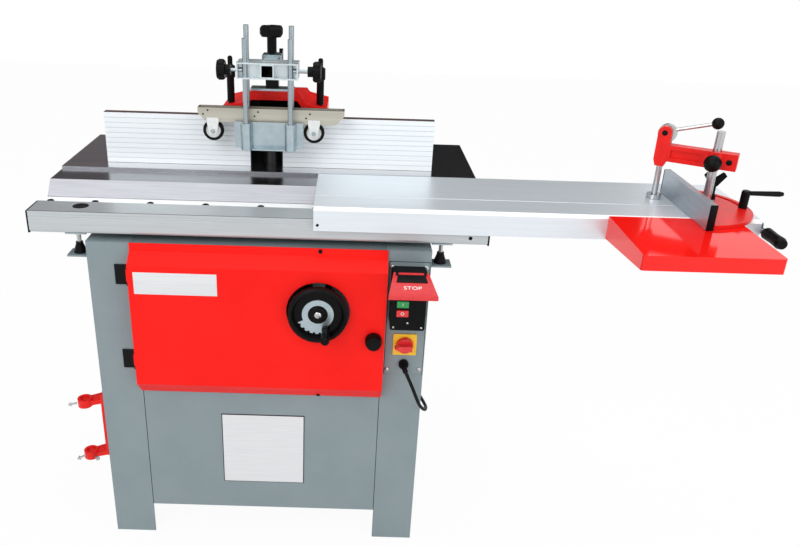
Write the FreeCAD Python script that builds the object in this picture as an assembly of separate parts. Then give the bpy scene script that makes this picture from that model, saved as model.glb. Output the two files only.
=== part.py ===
import FreeCAD, Part
import math
import os

# Spindle moulder with sliding table, in millimetres. While it is modelled, X is zero at the spindle, Y is zero
# at the cabinet's front and Z is zero at the floor. The finished pieces move to their own bottom centre.

# Shared clearances
overrun = 2.0
running_fit = 0.06
free_gap = 0.35
thin_gap = 0.5

# Cabinet of folded sheet
cabinet_width = 758.0
table_front = 235.0
spindle_setback = 90.0
spindle_y = table_front + spindle_setback
drive_room = 175.0
cabinet_depth = spindle_y + drive_room
cabinet_height = 804.0
cabinet_sheet = 3.0
leg_width = 99.0
arch_height = 88.0
top_flange_width = 40.0
front_flange_width = 60.0
foot_width = 70.0
foot_thickness = 4.0
floor_hole_radius = 5.5
ear_reach = 45.0
ear_width = 40.0
ear_thickness = 4.0
ear_setback = 5.0
ear_drop = 36.0
ear_hole_radius = 6.0
window_margin = 14.0
window_width = cabinet_width - 2 * leg_width - 2 * window_margin
window_low_drop = 364.0
window_low = cabinet_height - window_low_drop
window_high_drop = 24.0
window_high = cabinet_height - window_high_drop
panel_tab = 20.0
panel_lip = 18.0
vent_length = 120.0
vent_height = 8.0
vent_pitch = 24.0
vent_count = 6
vent_drop = 204.0
vent_low = cabinet_height - vent_drop

# Door, a folded pan
door_sheet = 2.0
door_overlap = 3.0
door_width = cabinet_width - 2 * leg_width + 2 * door_overlap
door_standoff = 3.0
door_depth = 34.0
door_low_drop = 376.0
door_low = cabinet_height - door_low_drop
door_low_slant = 39.0
door_face_low = door_low + door_low_slant
door_shoulder_drop = 15.5
door_shoulder = cabinet_height - door_shoulder_drop
door_high_slant = 24.5
door_face_high = door_shoulder - door_high_slant
door_lip = 16.5
door_high = door_shoulder + door_lip
door_hole_radius = 70.5
hinge_inset = 7.0
hinge_pin_radius = 2.5
hinge_barrel_radius = 5.0
hinge_leaf_width = 30.0
hinge_leaf_thickness = 2.5
hinge_height = 48.0
hinge_low_drop = 314.5
hinge_high_drop = 100.0
hinge_levels = (cabinet_height - hinge_low_drop, cabinet_height - hinge_high_drop)
knuckle_share = 0.6
latch_inset = 25.0
latch_x = door_width / 2 - latch_inset
latch_drop = 204.0
latch_z = cabinet_height - latch_drop
latch_shaft_radius = 4.0
latch_knob_radius = 19.0
latch_knob_depth = 21.0
latch_tongue_width = 12.0
latch_tongue_reach = 32.0
latch_tongue_thickness = 3.0

# Height handwheel
wheel_x = 133.0
wheel_drop = 137.0
wheel_z = cabinet_height - wheel_drop
wheel_radius = 66.0
wheel_back = 38.0
wheel_front = 62.0
wheel_hub_radius = 20.0
wheel_shaft_radius = 8.0
dial_ring_inner = 22.0
dial_ring_outer = 35.0
dial_ring_height = 4.0
lock_outer = 48.0
lock_height = 3.0
lock_from = 205.0
lock_to = 300.0
lock_scallops = 6
lock_scallop_radius = 3.5
crank_offset = (18.0, -36.0)
crank_boss_radius = 9.0
crank_pin_radius = 4.5
crank_grip_radius = 10.0
crank_grip_length = 50.0

# Switch gear on the right leg
switch_plate_shift = 2.5
switch_plate_x = cabinet_width / 2 - leg_width / 2 + switch_plate_shift
switch_plate_margin = 5.5
switch_plate_width = leg_width - 2 * switch_plate_margin
switch_plate_low_drop = 311.0
switch_plate_low = cabinet_height - switch_plate_low_drop
switch_plate_high_drop = 27.0
switch_plate_high = cabinet_height - switch_plate_high_drop
switch_plate_thickness = 2.0
switch_box_margin = 5.5
switch_box_width = switch_plate_width - 2 * switch_box_margin
switch_box_low_drop = 170.0
switch_box_low = cabinet_height - switch_box_low_drop
switch_box_high_drop = 36.0
switch_box_high = cabinet_height - switch_box_high_drop
switch_box_depth = 48.0
switch_box_shift = 1.5
switch_box_x = switch_plate_x - switch_box_shift
switch_edge = 5.0
button_shift = 12.5
button_x = switch_box_x - button_shift
button_width = 26.0
button_height = 15.0
button_proud = 3.0
button_depth = 12.0
button_travel = 4.0
start_button_drop = 106.0
start_button_z = cabinet_height - start_button_drop
stop_button_drop = 128.0
stop_button_z = cabinet_height - stop_button_drop
flap_axis_out = 8.0
flap_length = 86.0
flap_narrow = 75.0
flap_wide = 102.0
flap_thickness = 4.0
flap_rim = 9.0
flap_open_angle = 79.0
flap_pin_radius = 2.5
flap_lug_radius = 6.0
flap_lug_width = 5.0
isolator_drop = 231.0
isolator_z = cabinet_height - isolator_drop
isolator_size = 54.0
isolator_thickness = 3.0
isolator_knob_radius = 20.0
isolator_knob_height = 9.0
isolator_grip_width = 13.0
isolator_grip_height = 14.0
isolator_pin_radius = 4.0
gland_drop = 282.0
gland_z = cabinet_height - gland_drop
gland_radius = 11.5
gland_length = 12.0
gland_sleeve_radius = 6.0

# Bracket on the left side
bracket_plate_depth = 36.0
bracket_plate_thickness = 8.0
bracket_low = 231.0
bracket_high = 406.0
bracket_setback = 4.0
bracket_ring_radius = 17.0
bracket_bore_radius = 11.0
bracket_ring_height = 20.0
bracket_ring_reach = 45.0
bracket_ring_drop = 17.0
bracket_arm_thickness = 12.0

# Cast table
table_overhang = 119.0
table_length = cabinet_width + 2 * table_overhang
table_rise = 98.0
table_top = cabinet_height + table_rise
table_overhang_back = 47.0
table_back = cabinet_depth + table_overhang_back
table_thickness = 30.0
ledge_drop = 7.0
ledge_front = 154.0
bevel_front = 125.0
bevel_drop = 40.0
bevel_low = table_top - bevel_drop
lip_drop = 52.0
lip_low = table_top - lip_drop
lip_back = 160.0
skirt_inset = 39.0
skirt_half_length = cabinet_width / 2 - skirt_inset
skirt_front = 130.0
skirt_setback = 5.0
skirt_back = cabinet_depth - skirt_setback
skirt_wall = 12.0
edge_rib = 14.0
edge_rib_depth = 22.0
table_bore_radius = 80.0
table_ring_split = 55.0
table_ring_inner = 26.0
table_ring_thickness = 8.0
table_ring_seat = 8.0
hood_slot_width = 13.0
hood_slot_length = 70.0
hood_slot_behind = 75.0
hood_slot_back = spindle_y + hood_slot_behind

# Guide rail
rail_setback = 1.0
rail_length = table_length - 2 * rail_setback
rail_depth = 69.0
rail_rise = 16.0
rail_low = cabinet_height + rail_rise
rail_height = 50.5
rail_high = rail_low + rail_height
rail_wall = 4.0
rail_corner = 9.0
rail_groove_width = 2.4
rail_groove_depth = 1.6
rail_groove_levels = (8.0, 13.0)
rail_flange_rise = 36.0
rail_flange_low = rail_low + rail_flange_rise
rail_flange_thickness = 5.0
rail_flange_high = rail_flange_low + rail_flange_thickness
rail_web_share = 0.5

# Sliding table with its tray and grip
slider_left = 119.0
slider_length = 950.0
slider_right = slider_left + slider_length
slider_front = -14.0
slider_plate = 6.0
slider_skirt_drop = 53.0
slider_skirt_low = table_top - slider_skirt_drop
slider_skirt_thickness = 4.0
slider_bevel = 7.0
slider_gap = 2.0
slider_groove_y = 69.0
slider_groove_width = 5.0
slider_groove_depth = 2.0
glide_width = 12.0
glide_height = 6.0
glide_inset = 8.0
rib_thickness = 5.0
tray_width = 270.0
tray_inset = 55.0
tray_right = slider_right - tray_inset
tray_left = tray_right - tray_width
tray_front = -230.0
tray_sheet = 3.0
tray_front_depth = 31.0
tray_back_depth = 51.0
grip_gap = 2.0
grip_x = slider_right + grip_gap
grip_back = -22.0
grip_front = -92.0
grip_radius = 13.0
grip_rod_radius = 6.0
grip_z = rail_high + slider_gap + grip_rod_radius
grip_plate_thickness = 4.0
grip_plate_width = 40.0

# Mitre with its fence, levers and hold-down clamp
mitre_inset = 134.0
mitre_x = slider_right - mitre_inset
mitre_y = 53.0
mitre_radius = 130.0
mitre_thickness = 8.0
mitre_pin_radius = 7.0
mitre_slot_radius = 115.0
mitre_slot_width = 11.0
mitre_swing = 60.0
mitre_slot_margin = 5.0
mitre_edge = 9.7
mitre_fence_back = 18.0
mitre_fence_thickness = 14.0
mitre_fence_front = -87.0
mitre_fence_far = 165.0
mitre_fence_rise = 55.0
mitre_fence_high = table_top + mitre_fence_rise
mitre_fence_slot = 6.0
lever_hub_radius = 9.0
lever_hub_height = 39.0
lever_arm_length = 80.0
lever_arm_radius = 6.0
lever_stud_radius = 5.0
wing_along = 69.0
wing_x = mitre_x + wing_along
wing_across = 47.0
wing_y = mitre_y + wing_across
wing_stem_radius = 6.0
wing_stem_height = 36.0
wing_span = 48.0
wing_height = 25.0
wing_thickness = 9.0
column_along = 44.0
column_x = mitre_x + column_along
column_across = 14.0
column_y = mitre_y + column_across
column_radius = 9.0
column_rise = 169.0
column_high = table_top + column_rise
column_foot_radius = 15.0
column_foot_height = 8.0
arm_angle = 149.75
arm_low_rise = 90.0
arm_low = table_top + arm_low_rise
arm_high_rise = 126.0
arm_high = table_top + arm_high_rise
arm_width = 26.0
arm_head_reach = 109.0
arm_tail_reach = 44.0
arm_slit = 3.0
arm_pinch_radius = 4.5
head_width = 28.0
head_rise = 78.0
head_low = table_top + head_rise
head_pivot_rise = 152.0
head_pivot_z = table_top + head_pivot_rise
head_radius = 14.0
head_taper = 14.0
head_neck_wall = 2.5
cam_radius = 20.0
cam_offset = 4.0
cam_offset_angle = -30.0
cam_width = 11.0
cam_pin_radius = 4.0
cam_lever_reach = 99.0
cam_lever_rise = 32.0
cam_rod_radius = 4.0
cam_ball_radius = 12.5
press_rod_radius = 6.5
press_foot_radius = 15.5
press_foot_height = 10.0
arm_knob_reach = 42.0
arm_knob_radius = 18.0
arm_knob_stud_radius = 5.0

# Fence boards and cutter hood
fence_face_ahead = 44.0
fence_face_y = spindle_y - fence_face_ahead
fence_thickness = 22.0
fence_rise = 123.0
fence_high = table_top + fence_rise
left_fence_ends = (-400.0, -49.0)
right_fence_ends = (30.0, 395.0)
fence_groove_count = 9
fence_groove_depth = 0.8
fence_groove_width = 1.6
hood_x = 8.0
hood_half_width = 127.0
hood_behind = 145.0
hood_back = spindle_y + hood_behind
hood_wall = 5.0
hood_edge_rise = 138.0
hood_edge_high = table_top + hood_edge_rise
hood_wing_rise = 150.0
hood_wing_high = table_top + hood_wing_rise
hood_top_rise = 180.0
hood_top = table_top + hood_top_rise
hood_top_half = 55.0
hood_flat_depth = 45.0
hood_back_rise = 160.0
hood_back_high = table_top + hood_back_rise
hood_brow = 22.0
hood_step_half = 78.0
outlet_radius = 50.0
outlet_wall = 3.0
outlet_length = 45.0
outlet_rise = 73.0
outlet_z = table_top + outlet_rise
handle_half_spacing = 109.0
handle_behind = 15.0
handle_y = spindle_y + handle_behind
handle_stem_radius = 9.0
handle_sleeve_radius = 12.0
handle_tip_radius = 6.0
handle_rise = 254.0
handle_high = table_top + handle_rise
handle_stud_radius = 6.0

# Pressing device over the hood
press_x = 3.0
press_rise = 244.0
press_z = table_top + press_rise
tube_size = 30.0
tube_wall = 2.5
tube_front_ahead = 135.0
tube_front = spindle_y - tube_front_ahead
tube_back_behind = 65.0
tube_back = spindle_y + tube_back_behind
sleeve_size = 44.0
sleeve_front_ahead = 35.0
sleeve_front = spindle_y - sleeve_front_ahead
sleeve_back_behind = 5.0
sleeve_back = spindle_y + sleeve_back_behind
post_base_width = 104.0
post_base_thickness = 5.0
post_width = 30.0
stop_thickness = 8.0
stop_rise = 31.0
channel_half_length = 69.0
channel_depth = 24.0
channel_sheet = 3.0
channel_height = 36.0
front_channel_ahead = 133.0
front_channel_y = spindle_y - front_channel_ahead
rear_channel_ahead = 99.0
rear_channel_y = spindle_y - rear_channel_ahead
press_rod_half_spacing = 51.0
guide_rod_radius = 6.0
front_rod_ahead = 120.0
front_rod_y = spindle_y - front_rod_ahead
front_rod_rise = 313.0
front_rod_high = table_top + front_rod_rise
rear_rod_ahead = 87.0
rear_rod_y = spindle_y - rear_rod_ahead
rear_rod_rise = 338.0
rear_rod_high = table_top + rear_rod_rise
shoe_low_rise = 62.0
shoe_low = table_top + shoe_low_rise
shoe_high_rise = 124.0
shoe_high = table_top + shoe_high_rise
shoe_half_length = 80.0
shoe_plate_half = 38.0
shoe_back_ahead = 105.0
shoe_back = spindle_y - shoe_back_ahead
shoe_sheet = 3.0
shoe_socket_radius = 13.0
shoe_front_ahead = 128.0
shoe_front = spindle_y - shoe_front_ahead
bar_left = -163.0
bar_right = 178.0
bar_front_ahead = 99.0
bar_front = spindle_y - bar_front_ahead
bar_back_ahead = 71.0
bar_back = spindle_y - bar_back_ahead
bar_low_rise = 120.0
bar_low = table_top + bar_low_rise
bar_high_rise = 153.0
bar_high = table_top + bar_high_rise
bar_sheet = 3.0
bar_chamfer = 20.0
castor_places = (-128.5, 107.7)
castor_rise = 99.0
castor_z = table_top + castor_rise
castor_radius = 24.5
castor_width = 12.0
castor_ahead = 96.0
castor_front = spindle_y - castor_ahead
castor_pin_radius = 4.0
fork_half = 14.0
side_knob_radius = 23.0
side_knob_height = 30.0
side_stud_radius = 4.0
left_stud_length = 14.0
right_stud_length = 21.0
knob_lobes = 6
knob_scallop_share = 0.3
top_knob_radius = 28.0
top_knob_height = 60.0
top_knob_lobes = 3
top_knob_scallop_share = 0.6
top_stud_radius = 5.0
top_stud_rise = 3.0

# Drive: lift bracket, lift screw, gears, spindle and motor
guide_half_spacing = 75.0
guide_behind = 80.0
guide_y = spindle_y + guide_behind
guide_radius = 15.0
guide_drop = 257.0
guide_low = wheel_z - guide_drop
lift_plate = 12.0
lift_plate_margin = 22.0
gear_teeth = 16
gear_pitch_radius = 22.0
gear_face_share = 0.4
tooth_high = 2.0
tooth_deep = 2.6
tooth_tip_width = 1.6
tooth_root_width = 4.0
gear_hub_radius = 14.0
gear_hub_length = 14.0
screw_radius = 9.0
screw_journal_radius = 8.0
shaft_post_width = 54.0
shaft_post_depth = 16.0
shaft_post_ahead = 95.0
shaft_post_y = spindle_y - shaft_post_ahead
gantry_low_rise = 45.0
gantry_low = wheel_z + gantry_low_rise
gantry_high_rise = 57.0
gantry_high = wheel_z + gantry_high_rise
housing_radius = 48.0
housing_low_drop = 131.0
housing_low = wheel_z - housing_low_drop
housing_high_rise = 73.0
housing_high = wheel_z + housing_high_rise
sleeve_radius = 27.0
nut_height = 22.0
nut_radius = 24.0
carrier_thickness = 9.0
bearing_outer = 40.0
bearing_height = 18.0
bearing_inset = 10.0
spindle_radius = 20.0
arbor_radius = 15.0
arbor_shoulder_drop = 22.0
arbor_shoulder = table_top - arbor_shoulder_drop
arbor_rise = 83.0
arbor_high = table_top + arbor_rise
arbor_ring_radius = 22.0
arbor_ring_height = 15.0
arbor_ring_count = 5
arbor_nut_radius = 23.0
pulley_low_drop = 197.0
pulley_low = wheel_z - pulley_low_drop
pulley_high_drop = 137.0
pulley_high = wheel_z - pulley_high_drop
spindle_pulley_radii = (32.0, 45.0)
motor_pulley_radii = (52.0, 39.0)
pulley_groove = 6.0
motor_x = -165.0
motor_ahead = 25.0
motor_y = spindle_y - motor_ahead
motor_radius = 72.0
motor_rise = 93.0
motor_high = wheel_z + motor_rise
motor_fin_count = 20
motor_fin_height = 5.0
motor_fin_thickness = 3.0
motor_shaft_radius = 12.0
belt_thickness = 6.0
belt_width = 18.0

# Mains cord: route by hand, coil of the length that is put away, plug
cord_radius = 4.0
cord_from_gland = (
    (4.5, -30.7, -7.8), (17.1, -47.2, -29.4), (28.9, -50.9, -57.8), (40.1, -43.6, -88.0), (56.0, -24.0, -113.0),
    (63.0, 10.0, -126.0), (59.0, 48.0, -134.0), (54.0, 96.0, -146.0), (53.0, 146.0, -176.0))
cord_down_side = (
    (7.0, 180.0, 292.0), (9.0, 195.0, 222.0), (12.0, 198.0, 148.0), (14.0, 199.0, 84.0), (1.0, 202.0, 34.0))
cord_on_floor = (
    (346.0, 208.0, 9.0), (302.0, 218.0, 4.2), (254.0, 230.0, 4.2), (208.0, 230.0, 4.2))
cord_route = [(switch_plate_x + x, y, gland_z + z) for x, y, z in cord_from_gland]
cord_route += [(cabinet_width / 2 + x, y, z) for x, y, z in cord_down_side]
cord_route += cord_on_floor
coil_outer_radius = 55.0
coil_pitch = 8.8
coil_layer = 8.8
coil_layer_turns = 2.5
coil_end_straight = 8.0
plug_width = 40.0
plug_length = 46.0
plug_nose = 42.0
plug_pin_radius = 2.4
plug_pin_length = 19.0
plug_pin_spacing = 19.0

V = FreeCAD.Vector


def about(middle, size):
    """The two ends of a length that is centred on a place."""
    return (middle - size / 2, middle + size / 2)


def block(x, y, z):
    """Block between the two values that are given on each axis."""
    return Part.makeBox(x[1] - x[0], y[1] - y[0], z[1] - z[0], V(x[0], y[0], z[0]))


def place(axis, across, up, along):
    """Point from two places in the plane square to an axis and one along it."""
    if axis == "x":
        return V(along, across, up)
    if axis == "y":
        return V(across, along, up)
    return V(across, up, along)


def prism(points, axis, ends):
    """Straight-sided outline pulled along an axis between two places."""
    corners = [place(axis, across, up, ends[0]) for across, up in points]
    face = Part.Face(Part.makePolygon(corners + corners[:1]))
    return face.extrude(place(axis, 0, 0, ends[1] - ends[0]))


def rod(radius, start, end):
    """Round bar from one point to another."""
    run = V(*end) - V(*start)
    return Part.makeCylinder(radius, run.Length, V(*start), run)


def ring(outer, inner, start, end):
    """Round tube from one point to another."""
    return rod(outer, start, end).cut(rod(inner, start, end))


def turned(profile, base, axis):
    """Outline of radii and heights turned about an axis that starts at a base point."""
    corners = [V(radius, 0, height) for radius, height in profile]
    face = Part.Face(Part.makePolygon(corners + corners[:1]))
    solid = face.revolve(V(0, 0, 0), V(0, 0, 1), 360)
    solid.Placement = FreeCAD.Placement(V(*base), FreeCAD.Rotation(V(0, 0, 1), V(*axis)))
    return solid


def ball(radius, centre, axis):
    """Sphere about a point with its poles on an axis."""
    return Part.makeSphere(radius, V(*centre), V(*axis))


def whole(shape):
    """The one solid in a result, or the result itself where it has more."""
    return shape.Solids[0] if len(shape.Solids) == 1 else shape


def fuse(first, *others):
    """One solid of several that overlap or touch."""
    return whole(first.fuse(list(others)).removeSplitter())


def cut(body, *tools):
    """A solid with others taken out of it."""
    return whole(body.cut(list(tools)))


def turn(shape, centre, axis, angle):
    """Copy of a shape turned by degrees about an axis through a point."""
    copy = shape.copy()
    copy.rotate(V(*centre), V(*axis), angle)
    return copy


def shift(shape, x, y, z):
    """Copy of a shape moved along the three axes."""
    copy = shape.copy()
    copy.translate(V(x, y, z))
    return copy


def rounded(body, radius, axis, chosen=None):
    """Body with its straight edges along an axis rounded, all of them or those whose middle is chosen."""
    direction = place(axis, 0, 0, 1)
    edges = []
    for edge in body.Edges:
        if edge.Curve.TypeId != "Part::GeomLine":
            continue
        if abs(edge.Curve.Direction.dot(direction)) < 1 - Part.Precision.confusion():
            continue
        if chosen is None or chosen(edge.CenterOfMass):
            edges.append(edge)
    return body.makeFillet(radius, edges)


def moved_sides(points, distances):
    """Outline with each side moved inwards by its own distance, corners counted against the clock."""
    lines = []
    for index, start in enumerate(points):
        end = points[(index + 1) % len(points)]
        run = (end[0] - start[0], end[1] - start[1])
        length = math.hypot(*run)
        inward = (-run[1] / length, run[0] / length)
        base = (start[0] + inward[0] * distances[index], start[1] + inward[1] * distances[index])
        lines.append((base, run))
    corners = []
    for index, (base, run) in enumerate(lines):
        before, before_run = lines[index - 1]
        cross = before_run[0] * run[1] - before_run[1] * run[0]
        gap = (base[0] - before[0], base[1] - before[1])
        step = (gap[0] * run[1] - gap[1] * run[0]) / cross
        corners.append((before[0] + before_run[0] * step, before[1] + before_run[1] * step))
    return corners


def star_head(radius, height, lobes, scallop_share):
    """Star grip about +Z with its base at zero: a disc with round scallops in its rim."""
    head = turned(
        [(0, 0), (radius * 0.86, 0), (radius, height * 0.25), (radius, height * 0.75), (radius * 0.86, height),
         (0, height)],
        (0, 0, 0), (0, 0, 1))
    scallops = []
    for index in range(lobes):
        angle = 2 * math.pi * index / lobes
        reach = radius * (1 + scallop_share / 2)
        foot = (reach * math.cos(angle), reach * math.sin(angle))
        scallops.append(rod(radius * scallop_share, (*foot, -overrun), (*foot, height + overrun)))
    return cut(head, *scallops)


def aimed(shape, base, axis):
    """Copy of a shape made about +Z at zero, standing on a base point along another axis."""
    copy = shape.copy()
    copy.Placement = FreeCAD.Placement(V(*base), FreeCAD.Rotation(V(0, 0, 1), V(*axis))) * shape.Placement
    return copy

half_width = cabinet_width / 2
leg_inner = half_width - leg_width


def cabinet_side():
    """Left side: a wall with leg flanges, a top flange, foot plates and a levelling ear."""
    depth = (0, cabinet_depth)
    height = (0, cabinet_height)
    outside = -half_width
    side = fuse(
        block((outside, outside + cabinet_sheet), depth, height),
        block((outside, -leg_inner), (0, cabinet_sheet), height),
        block((outside, -leg_inner), (cabinet_depth - cabinet_sheet, cabinet_depth), height),
        block((outside, outside + top_flange_width), depth, (cabinet_height - cabinet_sheet, cabinet_height)))
    ear_high = cabinet_height - ear_drop
    ear_y = (ear_setback, ear_setback + ear_width)
    ear_x = (outside - ear_reach, outside)
    side = fuse(side, block(ear_x, ear_y, (ear_high - ear_thickness, ear_high)))
    holes = [rod(ear_hole_radius, (sum(ear_x) / 2, sum(ear_y) / 2, ear_high - ear_thickness - overrun),
                 (sum(ear_x) / 2, sum(ear_y) / 2, ear_high + overrun))]
    foot_x = (outside, outside + foot_width)
    for foot_y in ((0, foot_width), (cabinet_depth - foot_width, cabinet_depth)):
        side = fuse(side, block(foot_x, foot_y, (0, foot_thickness)))
        centre = (sum(foot_x) / 2, sum(foot_y) / 2)
        holes.append(rod(floor_hole_radius, (*centre, -overrun), (*centre, foot_thickness + overrun)))
    arch = block((outside - overrun, outside + cabinet_sheet + overrun), (leg_width, cabinet_depth - leg_width),
                 (-overrun, arch_height))
    return cut(side, arch, *holes)


def front_panel():
    """Panel between the legs with the drive window, side tabs, top and bottom lips and the handwheel's bush."""
    across = (-leg_inner, leg_inner)
    panel = block(across, (0, cabinet_sheet), (arch_height, cabinet_height))
    window = block(about(0, window_width), (-overrun, cabinet_sheet + overrun), (window_low, window_high))
    behind = (cabinet_sheet, 2 * cabinet_sheet)
    tab = (leg_inner - panel_tab / 2, leg_inner + panel_tab)
    bush_back = cabinet_sheet + shaft_post_depth
    strap = block(about(wheel_x, shaft_post_width / 2), behind, (window_low - panel_tab, window_high + panel_tab))
    bush = rod(wheel_shaft_radius * 2, (wheel_x, cabinet_sheet, wheel_z), (wheel_x, bush_back, wheel_z))
    panel = fuse(
        cut(panel, window),
        block(tab, behind, (arch_height, cabinet_height - 2 * cabinet_sheet)),
        block((-tab[1], -tab[0]), behind, (arch_height, cabinet_height - 2 * cabinet_sheet)),
        block(across, (0, panel_lip), (arch_height, arch_height + cabinet_sheet)),
        block(across, (0, front_flange_width), (cabinet_height - cabinet_sheet, cabinet_height)),
        strap, bush)
    bore = rod(wheel_shaft_radius + running_fit, (wheel_x, -overrun, wheel_z), (wheel_x, bush_back + overrun, wheel_z))
    return cut(panel, bore)


def rear_panel():
    """Panel between the rear legs with tabs and rows of vent slots."""
    across = (-leg_inner, leg_inner)
    panel = block(across, (cabinet_depth - cabinet_sheet, cabinet_depth), (arch_height, cabinet_height))
    inside = (cabinet_depth - 2 * cabinet_sheet, cabinet_depth - cabinet_sheet)
    tab = (leg_inner - panel_tab / 2, leg_inner + panel_tab)
    high = cabinet_height - 2 * cabinet_sheet
    panel = fuse(panel, block(tab, inside, (arch_height, high)), block((-tab[1], -tab[0]), inside, (arch_height, high)))
    slots = []
    for index in range(vent_count):
        level = vent_low + index * vent_pitch
        slots.append(block(about(0, vent_length), (cabinet_depth - 2 * cabinet_sheet, cabinet_depth + overrun),
                           (level, level + vent_height)))
    return cut(panel, *slots)


door_back = -door_standoff
door_face = door_back - door_depth
hinge_x = -door_width / 2 - hinge_inset
hinge_y = -hinge_barrel_radius - thin_gap


def door():
    """Folded pan with slanted top and bottom, a lip, the handwheel hole and a knuckle for each hinge."""
    profile = [(door_back, door_low), (door_back, door_shoulder), (door_face, door_face_high),
               (door_face, door_face_low)]
    inner = moved_sides(profile, (-overrun, door_sheet, door_sheet, door_sheet))
    pan = cut(prism(profile, "x", about(0, door_width)), prism(inner, "x", about(0, door_width - 2 * door_sheet)))
    lip = block(about(0, door_width), (door_back - door_sheet, door_back), (door_shoulder - door_sheet, door_high))
    pan = fuse(pan, lip)
    wheel_hole = rod(door_hole_radius, (wheel_x, door_face - overrun, wheel_z),
                     (wheel_x, door_face + door_sheet + overrun, wheel_z))
    latch_hole = rod(latch_shaft_radius + free_gap, (latch_x, door_face - overrun, latch_z),
                     (latch_x, door_face + door_sheet + overrun, latch_z))
    pan = cut(pan, wheel_hole, latch_hole)
    for level in hinge_levels:
        middle = about(level + hinge_height / 2, hinge_height * knuckle_share)
        tab = block((hinge_x, -door_width / 2 + door_sheet), about(hinge_y, door_sheet), middle)
        barrel = rod(hinge_barrel_radius, (hinge_x, hinge_y, middle[0]), (hinge_x, hinge_y, middle[1]))
        bore = rod(hinge_pin_radius + running_fit, (hinge_x, hinge_y, middle[0] - overrun),
                   (hinge_x, hinge_y, middle[1] + overrun))
        pan = cut(fuse(pan, tab, barrel), bore)
    return pan


def hinge_leaves():
    """Two hinge leaves on the left leg, each with its outer knuckles and pin."""
    leaves = []
    for level in hinge_levels:
        height = (level, level + hinge_height)
        middle = about(level + hinge_height / 2, hinge_height * knuckle_share + 2 * free_gap)
        leaf = block((hinge_x - hinge_leaf_width, hinge_x), (-hinge_leaf_thickness, 0), height)
        barrel = rod(hinge_barrel_radius, (hinge_x, hinge_y, height[0]), (hinge_x, hinge_y, height[1]))
        room = block(about(hinge_x, 2 * hinge_barrel_radius + 2 * thin_gap), about(hinge_y, 3 * hinge_barrel_radius),
                     middle)
        pin = rod(hinge_pin_radius, (hinge_x, hinge_y, height[0]), (hinge_x, hinge_y, height[1]))
        leaves.append(fuse(cut(fuse(leaf, barrel), room), pin))
    return Part.makeCompound(leaves)


def door_knob():
    """Round knob with a grip bar, a shaft and a latch tongue behind the panel."""
    knob = turned([(0, 0), (latch_knob_radius, 0), (latch_knob_radius, latch_knob_depth * 0.55),
                   (latch_knob_radius * 0.85, latch_knob_depth), (0, latch_knob_depth)],
                  (latch_x, door_face - free_gap, latch_z), (0, -1, 0))
    tongue_y = 2 * cabinet_sheet + 2 * free_gap
    shaft = rod(latch_shaft_radius, (latch_x, door_face - free_gap, latch_z),
                (latch_x, tongue_y + latch_tongue_thickness, latch_z))
    tongue = block(about(latch_x, latch_tongue_width), (tongue_y, tongue_y + latch_tongue_thickness),
                   (latch_z - latch_tongue_reach, latch_z + latch_tongue_width / 2))
    return fuse(knob, shaft, tongue)


def handwheel():
    """Dished wheel with hub, crank boss and pin, and its dial ring and scalloped lock as loose solids."""
    depth = wheel_front - wheel_back
    shares = ((0.30, 0.0), (0.30, 0.17), (0.80, 0.17), (0.90, 0.08), (1.0, 0.35), (1.0, 0.85), (0.94, 1.0),
              (0.87, 0.92), (0.79, 0.40), (0.30, 0.40))
    profile = [(wheel_radius * across, wheel_back + depth * up) for across, up in shares]
    web = wheel_back + depth * shares[-1][1]
    inner = wheel_shaft_radius + running_fit
    profile = [(inner, wheel_back)] + profile + [(wheel_hub_radius, web), (wheel_hub_radius, web + dial_ring_height),
                                               (inner, web + dial_ring_height)]
    out = (0, -1, 0)
    base = (wheel_x, 0, wheel_z)
    crank = (wheel_x + crank_offset[0], wheel_z + crank_offset[1])
    boss = rod(crank_boss_radius, (crank[0], -wheel_back - depth * shares[1][1], crank[1]),
               (crank[0], -wheel_front, crank[1]))
    pin = rod(crank_pin_radius, (crank[0], -wheel_front, crank[1]),
              (crank[0], -wheel_front - crank_grip_length * 0.94, crank[1]))
    wheel = fuse(turned(profile, base, out), boss, pin)
    around_boss = rod(crank_boss_radius + free_gap, (crank[0], 0, crank[1]), (crank[0], -2 * wheel_front, crank[1]))
    dial = ring(dial_ring_outer, dial_ring_inner, (wheel_x, -web, wheel_z),
                (wheel_x, -web - dial_ring_height, wheel_z)).cut(around_boss)
    lock = ring(lock_outer, dial_ring_outer, (wheel_x, -web, wheel_z), (wheel_x, -web - lock_height, wheel_z))
    reach = 2 * lock_outer
    wedge = [(wheel_x, wheel_z)]
    for angle in (lock_from, (lock_from + lock_to) / 2, lock_to):
        wedge.append((wheel_x + reach * math.cos(math.radians(angle)), wheel_z + reach * math.sin(math.radians(angle))))
    lock = lock.common(prism(wedge, "y", (-2 * wheel_front, 0)))
    scallops = [around_boss]
    for index in range(lock_scallops):
        angle = math.radians(lock_from + (lock_to - lock_from) * (index + 0.5) / lock_scallops)
        centre = (wheel_x + lock_outer * math.cos(angle), wheel_z + lock_outer * math.sin(angle))
        scallops.append(rod(lock_scallop_radius, (centre[0], 0, centre[1]), (centre[0], -2 * wheel_front, centre[1])))
    return Part.makeCompound([wheel, dial, cut(lock, *scallops)])


def crank_grip():
    """Tapered grip that spins on the crank pin."""
    length = crank_grip_length
    bore = crank_pin_radius + free_gap
    profile = [(bore, 0), (crank_grip_radius * 0.8, 0), (crank_grip_radius, length * 0.5),
               (crank_grip_radius * 0.95, length * 0.9), (crank_grip_radius * 0.6, length), (0, length),
               (0, length * 0.95), (bore, length * 0.95)]
    base = (wheel_x + crank_offset[0], -wheel_front - free_gap, wheel_z + crank_offset[1])
    return turned(profile, base, (0, -1, 0))

plate_front = -switch_plate_thickness
box_front = plate_front - switch_box_depth
flap_axis = (box_front - flap_axis_out, switch_box_high)


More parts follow.
